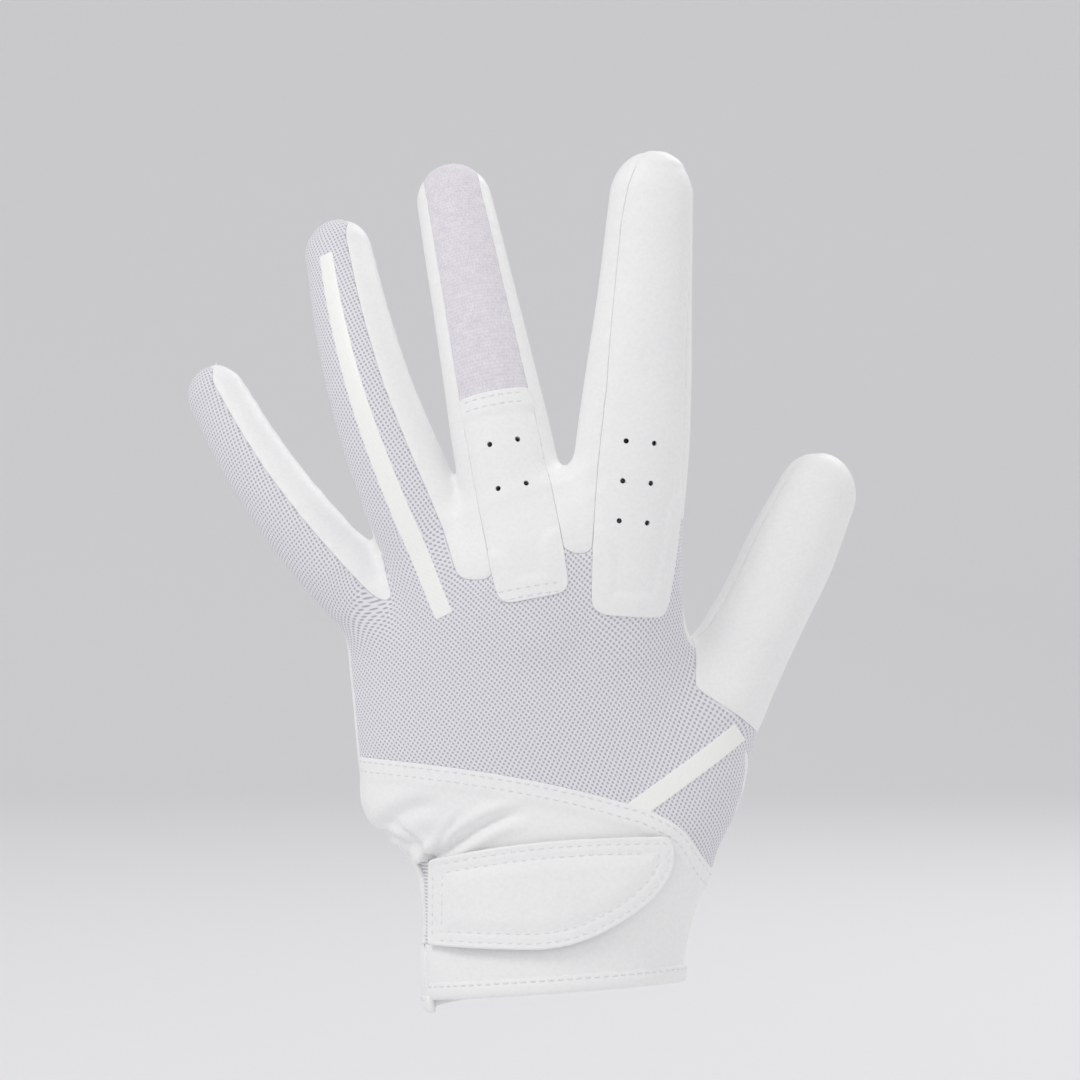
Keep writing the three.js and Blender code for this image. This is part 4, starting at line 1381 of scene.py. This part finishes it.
def polyester_thread(tree):
    """Twisted polyester sewing thread 0.4 mm thick, drawn with its ply as uneven shading."""
    place = add(tree, "TexCoord", output="Object")
    ply = add(tree, "TexNoise", {"Vector": place, "Scale": 2600.0, "Detail": 2.0})
    return {
        "Base Color": shaded(tree, ply, 0.35, 0.65, "#E4E4E8", "#F8F8F9"),
        "Roughness": 0.5, "Sheen Weight": 0.2,
        "Normal": add(tree, "Bump", {"Height": ply, "Strength": 0.4, "Distance": 0.0001}),
    }


def matt_paper(tree):
    """Matt pale grey background paper."""
    return {"Base Color": linear("#E9E9EB"), "Roughness": 0.9}


LEATHER, MESH, KNIT, TAPE, WOVEN, PILE, THREAD, PAPER = map(made_of, (
    coated_microfibre_leather, warp_knit_mesh, fine_stretch_knit, bonded_film_tape,
    woven_elastic, loop_pile, polyester_thread, matt_paper))


# The panels: refined and pierced where they have air holes, cut along the hem, drawn in at
# their seams, raised by their relief and given their thickness

def off_holes(points, name):
    """Distance from the wall of a digit's nearest air hole."""
    holes = AIR_HOLES[name]
    place = digit_place(name, points)
    rows = holes["start"] + holes["pitch"] * np.arange(holes["rows"])
    along = np.abs(place["along"][:, None] - rows).min(1)
    return np.hypot(along, np.abs(place["across"]) - holes["spread"]) - HOLE_DIAMETER / 2


def panel_sheet(panel):
    """A panel's share of the skin with its own numbering, pierced or cut along the hem: its
    corners, its triangles and the corners' marks."""
    points, triangles, used = packed(skin["points"], panels[panel])
    sheet = dict(points=points, marks=skin["marks"][used])
    if panel in ("index_back", "middle_knuckle_plate"):
        pairs, triangles = split(sheet["points"], triangles)
        sheet["points"] = np.vstack([points, points[pairs].mean(1)])
        sheet["marks"] = np.concatenate([
            sheet["marks"], sheet["marks"][pairs[:, 0]] & sheet["marks"][pairs[:, 1]]])
        name = panel.split("_")[0]
        triangles, _ = part(sheet, triangles, lambda p: off_holes(p, name), MARKS["hole"],
                            GRID_STEP / 2)
    if panel in ("palm_leather", "cuff_back"):
        hem = HEMS["palm" if panel == "palm_leather" else "back"]
        triangles, _ = part(sheet, triangles, lambda p: hem_height(p, **hem) - 1.6, MARKS["hem"])
    points, triangles, used = packed(sheet["points"], triangles)
    return points, triangles, sheet["marks"][used]


def make_sheet(name, points, triangles, thick, roll, node, slot, material, flat=None):
    """A sheet turned to face out of the glove, given its thickness and made a piece."""
    points, faces, source = shell(points, facing_out(points, triangles), thick, roll)
    make_piece(name, points, faces, node, slot, material, None if flat is None else flat[source])


CLOTH = {
    "back_mesh": ("grey_mesh", MESH, mesh_flat),
    "middle_back_knit": ("grey_knit", KNIT, knit_flat),
}
for panel in panels:
    slot, material, laid_flat = CLOTH.get(panel, ("white_leather", LEATHER, None))
    points, triangles, marks = panel_sheet(panel)
    seams[panel] = seam_spots(points, marks, triangles, panel)
    points, roll = drawn_in(points, triangles, seams[panel])
    flat = laid_flat(points) if laid_flat else None
    points = points + outwards(points) * relief(panel, points)[:, None]
    make_sheet(panel + "_panel", points, triangles, WALL, roll, panel, slot, material, flat)

# Seam allowances: the turned-in edges that lie behind every seam

ALLOWANCE_DEPTH = 0.6
ALLOWANCE_THICK = 0.3
ABOVE_HEM = 2.2


def beside_seams(rows=2):
    """The skin's triangles in a few rows on both sides of each seam, above the hem."""
    every = np.vstack(list(panels.values()))
    close = np.zeros(len(skin["points"]), bool)
    close[np.vstack([edge_loop(t) for t in panels.values()])] = True
    for _ in range(rows - 1):
        close[every[close[every].any(1)]] = True
    low = np.minimum(*(hem_height(skin["points"], **hem) for hem in HEMS.values()))
    return every[close[every].any(1) & (low[every] > ABOVE_HEM).all(1)]


points, triangles, _ = packed(skin["points"], beside_seams())
points = points + outwards(points) * (creases(points) - ALLOWANCE_DEPTH)[:, None]
make_sheet("seam_allowances", points, triangles, ALLOWANCE_THICK, 0.05, None, "white_leather",
           LEATHER)

# Hem

for which, angles in HEM_ANGLES.items():
    points, triangles = tube(hem_rings(which, *angles))
    make_piece("hem_" + which + "_binding", points, facing_out(points, triangles), "hem_" + which,
               "white_binding", LEATHER)

# Wrist tab, the pad under it and the elastic beside it

flat, triangles = tab_net(0.45)
points = front_face(*flat.T)
points += outwards(points) * tab_height(flat)[:, None]
make_sheet("tab_leather", points, triangles, 1.3, 0.45, "wrist_tab", "white_leather", LEATHER)

grid, quads = plane_net(PAD["low"], PAD["high"], 1.2)
points = front_face(*grid.T, level=1.1)
make_sheet("closure_pad", points, halves(quads), 0.8, 0.3, "tab_pad", "white_fastener", PILE)


def elastic_net(across=24, tall=200):
    """Elastic between the palm's edge and the tab's sewn end: angle round the wrist by height,
    its ribs a cosine in height. The map takes the wrist's mean radius, 36 mm."""
    height = np.linspace(ELASTIC["bottom"] - 0.8, ELASTIC["top"] + 0.8, tall)[:, None]
    angle = np.linspace(ELASTIC["left"] - 1.4, ELASTIC["near"], across) + 0 * height
    ribs = 0.14 * np.cos(2 * np.pi * height / RIB_PITCH)
    level = height + 0 * angle
    for _ in range(3):
        level += height - body_point(angle, level)[..., 2]
    flat = np.stack([np.radians(angle) * 36, height + 0 * angle], -1)
    return (body_point(angle, level, ribs - 0.5).reshape(-1, 3), grid_faces(tall, across),
            flat.reshape(-1, 2))


points, quads, flat = elastic_net()
make_sheet("elastic_ribbed", points, halves(quads), 0.8, 0.05, "elastic_insert",
           "white_elastic", WOVEN, flat)

# Tapes bonded on the mesh

along, angle = np.meshgrid(np.linspace(RING_STRIPE["start"], RING_STRIPE["end"], 160),
                           np.linspace(RING_STRIPE["low"], RING_STRIPE["high"], 9), indexing="ij")
points = settle(digit_point("ring", along.ravel(), angle.ravel()), level=TAPE_LIFT, turns=4)
make_sheet("ring_tape", points, halves(grid_faces(160, 9)), TAPE_THICK, 0.15, "ring_stripe",
           "white_tape", TAPE, mesh_flat(points))


def low_tape(step=0.5):
    """The short tape over the wrist: a flat strip from the cuff's edge, laid on the mesh."""
    start = np.array((LOW_STRIPE["x"], LOW_STRIPE["z"]))
    run = np.array((LOW_STRIPE["dx"], LOW_STRIPE["dz"]), float)
    length = np.linalg.norm(run)
    way = run / length
    side = np.array((-way[1], way[0])) * (LOW_STRIPE["width"] / 2 - 0.15)
    r, s = np.meshgrid(np.arange(-4, length, step), np.linspace(-1, 1, 11), indexing="ij")
    grid = start + r.reshape(-1, 1) * way + s.reshape(-1, 1) * side

    def open_mesh(p):
        return 0.6 - cuff_height(np.column_stack([p[:, 0], 0 * p[:, 0], p[:, 1]]))

    return cut_plane(grid, halves(grid_faces(*r.shape)), open_mesh, step)


grid, triangles = low_tape()
points = front_face(*grid.T, level=TAPE_LIFT)
make_sheet("wrist_tape", points, triangles, TAPE_THICK, 0.15, "hand_stripe", "white_tape", TAPE,
           mesh_flat(points))

# Stitches

def sew(name, rows):
    """Rows of stitches as one piece; each row gives its spots, directions and ways out."""
    make_piece(name, *joined([stitches(*row) for row in rows]), None, "white_binding", THREAD)


def raised(points, panel, turns=3):
    """Points settled on the skin and lifted by a panel's relief, with the way out there."""
    points = settle(points, turns=turns)
    out = outwards(points)
    return points + out * relief(panel, points)[:, None], out


def sewn_row(path, panel, spacing):
    """One row along a path on a panel."""
    spots, ahead = even(path, spacing)
    spots, out = raised(spots, panel)
    return spots, ahead, out


def cuff_rows():
    """The cuff's rows, at their depths under its upper seam."""
    angle = np.linspace(-80, 87, 400)
    for depth in CUFF_ROWS:
        level = level_where(cuff_height, angle, depth, start=45.0)
        yield sewn_row(body_point(angle, level), "cuff_back", STITCH_PITCH)


def hem_rows(height=3.4):
    """A row round the hem's upper edge, in two lengths."""
    for which, (low, high) in HEM_ANGLES.items():
        angle = np.linspace(low + 2, high - 2, 400)
        level = level_where(lambda p: hem_height(p, **HEMS[which]), angle, height, HEM_SWELL, 3.0)
        spots, ahead = even(body_point(angle, level, HEM_SWELL - 0.2), STITCH_PITCH)
        yield spots, ahead, outwards(spots)


def tab_paths():
    """Paths in the viewer's plane: two inside the tab's outline, open at its sewn end, and one
    along that end."""
    outline = tab_outline()
    left = TAB["start"][0]
    side = np.roll(outline, -1, 0) - np.roll(outline, 1, 0)
    inward = unit(np.stack([-side[:, 1], side[:, 0]], 1))
    inward *= np.sign(outline_distance(outline + inward * 0.5, outline).mean())
    for inset in TAB_ROWS:
        line = outline + inward * inset
        good = outline_distance(line, outline) > inset - 0.15
        line = line[good & (line[:, 0] > left + 2.5)]
        gap = np.argmax(np.linalg.norm(line - np.roll(line, 1, 0), axis=1))
        yield np.roll(line, -gap, 0)
    yield np.column_stack([np.full(30, left + 1.5), np.linspace(14.5, 32, 30)])


def tab_rows():
    """The tab's rows, laid on its outer face."""
    for x, z in (path.T for path in tab_paths()):
        spots, ahead = even(np.column_stack([x, 0 * x, z]), STITCH_PITCH)
        flat = spots[:, [0, 2]]
        base = front_face(*flat.T)
        out = outwards(base)
        ends = front_face(*(flat + ahead[:, [0, 2]] * 0.5).T)
        yield base + out * tab_height(flat)[:, None], unit(ends - base), out


def plate_rows():
    """The knuckle plate's rows, two at each end."""
    angle = np.linspace(-40, 40, 80)
    for inset in PLATE_ROWS:
        for along in (PLATE_ENDS[1] - inset, PLATE_ENDS[0] + inset):
            path = digit_point("middle", along + 0 * angle, angle)
            yield sewn_row(path, "middle_knuckle_plate", 2.2)


sew("cuff_stitches", cuff_rows())
sew("hem_stitches", hem_rows())
sew("tab_stitches", tab_rows())
sew("plate_stitches", plate_rows())

# Floor, backdrop and light

def cyclorama():
    """A pale floor that curves up into a wall behind: a quarter round between two flats."""
    turn = np.linspace(0, math.pi / 2, 24)
    profile = np.vstack([[(-3.0, -0.09)], np.stack([2.2 + np.sin(turn), 0.91 - np.cos(turn)], 1),
                         [(3.2, 4.0)]])
    points = np.array([[(x, y, z) for x in (-4.0, 4.0)] for y, z in profile]).reshape(-1, 3)
    mesh = bpy.data.meshes.new("studio_floor")
    mesh.from_pydata(points.tolist(), [], grid_faces(len(profile), 2)[:, ::-1].tolist())
    mesh.polygons.foreach_set("use_smooth", np.ones(len(mesh.polygons), bool))
    mesh.materials.append(PAPER)
    floor = bpy.data.objects.new("studio_floor", mesh)
    bpy.context.scene.collection.objects.link(floor)


def soft_light(name, place, size, power, target=(0, 0, 0.1)):
    """A round soft light aimed at a point."""
    data = bpy.data.lights.new(name, "AREA")
    data.shape = "DISK"
    data.size = size
    data.energy = power
    light = bpy.data.objects.new(name, data)
    light.location = place
    way = np.array(target) - np.array(place)
    light.rotation_euler = (math.atan2(math.hypot(way[0], way[1]), -way[2]), 0,
                            math.atan2(-way[0], way[1]))
    bpy.context.scene.collection.objects.link(light)


cyclorama()
soft_light("key", (-0.9, -0.9, 1.5), 0.7, 8)
soft_light("fill", (1.3, -1.1, 0.6), 1.2, 1.2)
soft_light("rear", (0.8, 1.2, 1.3), 1.0, 7)
world = bpy.data.worlds.new("white_room")
world.use_nodes = True
fill(world.node_tree, world.node_tree.nodes["Background"],
     {"Color": linear("#FFFFFF"), "Strength": 0.7})
bpy.context.scene.world = world
bpy.context.scene.view_settings.view_transform = "Standard"
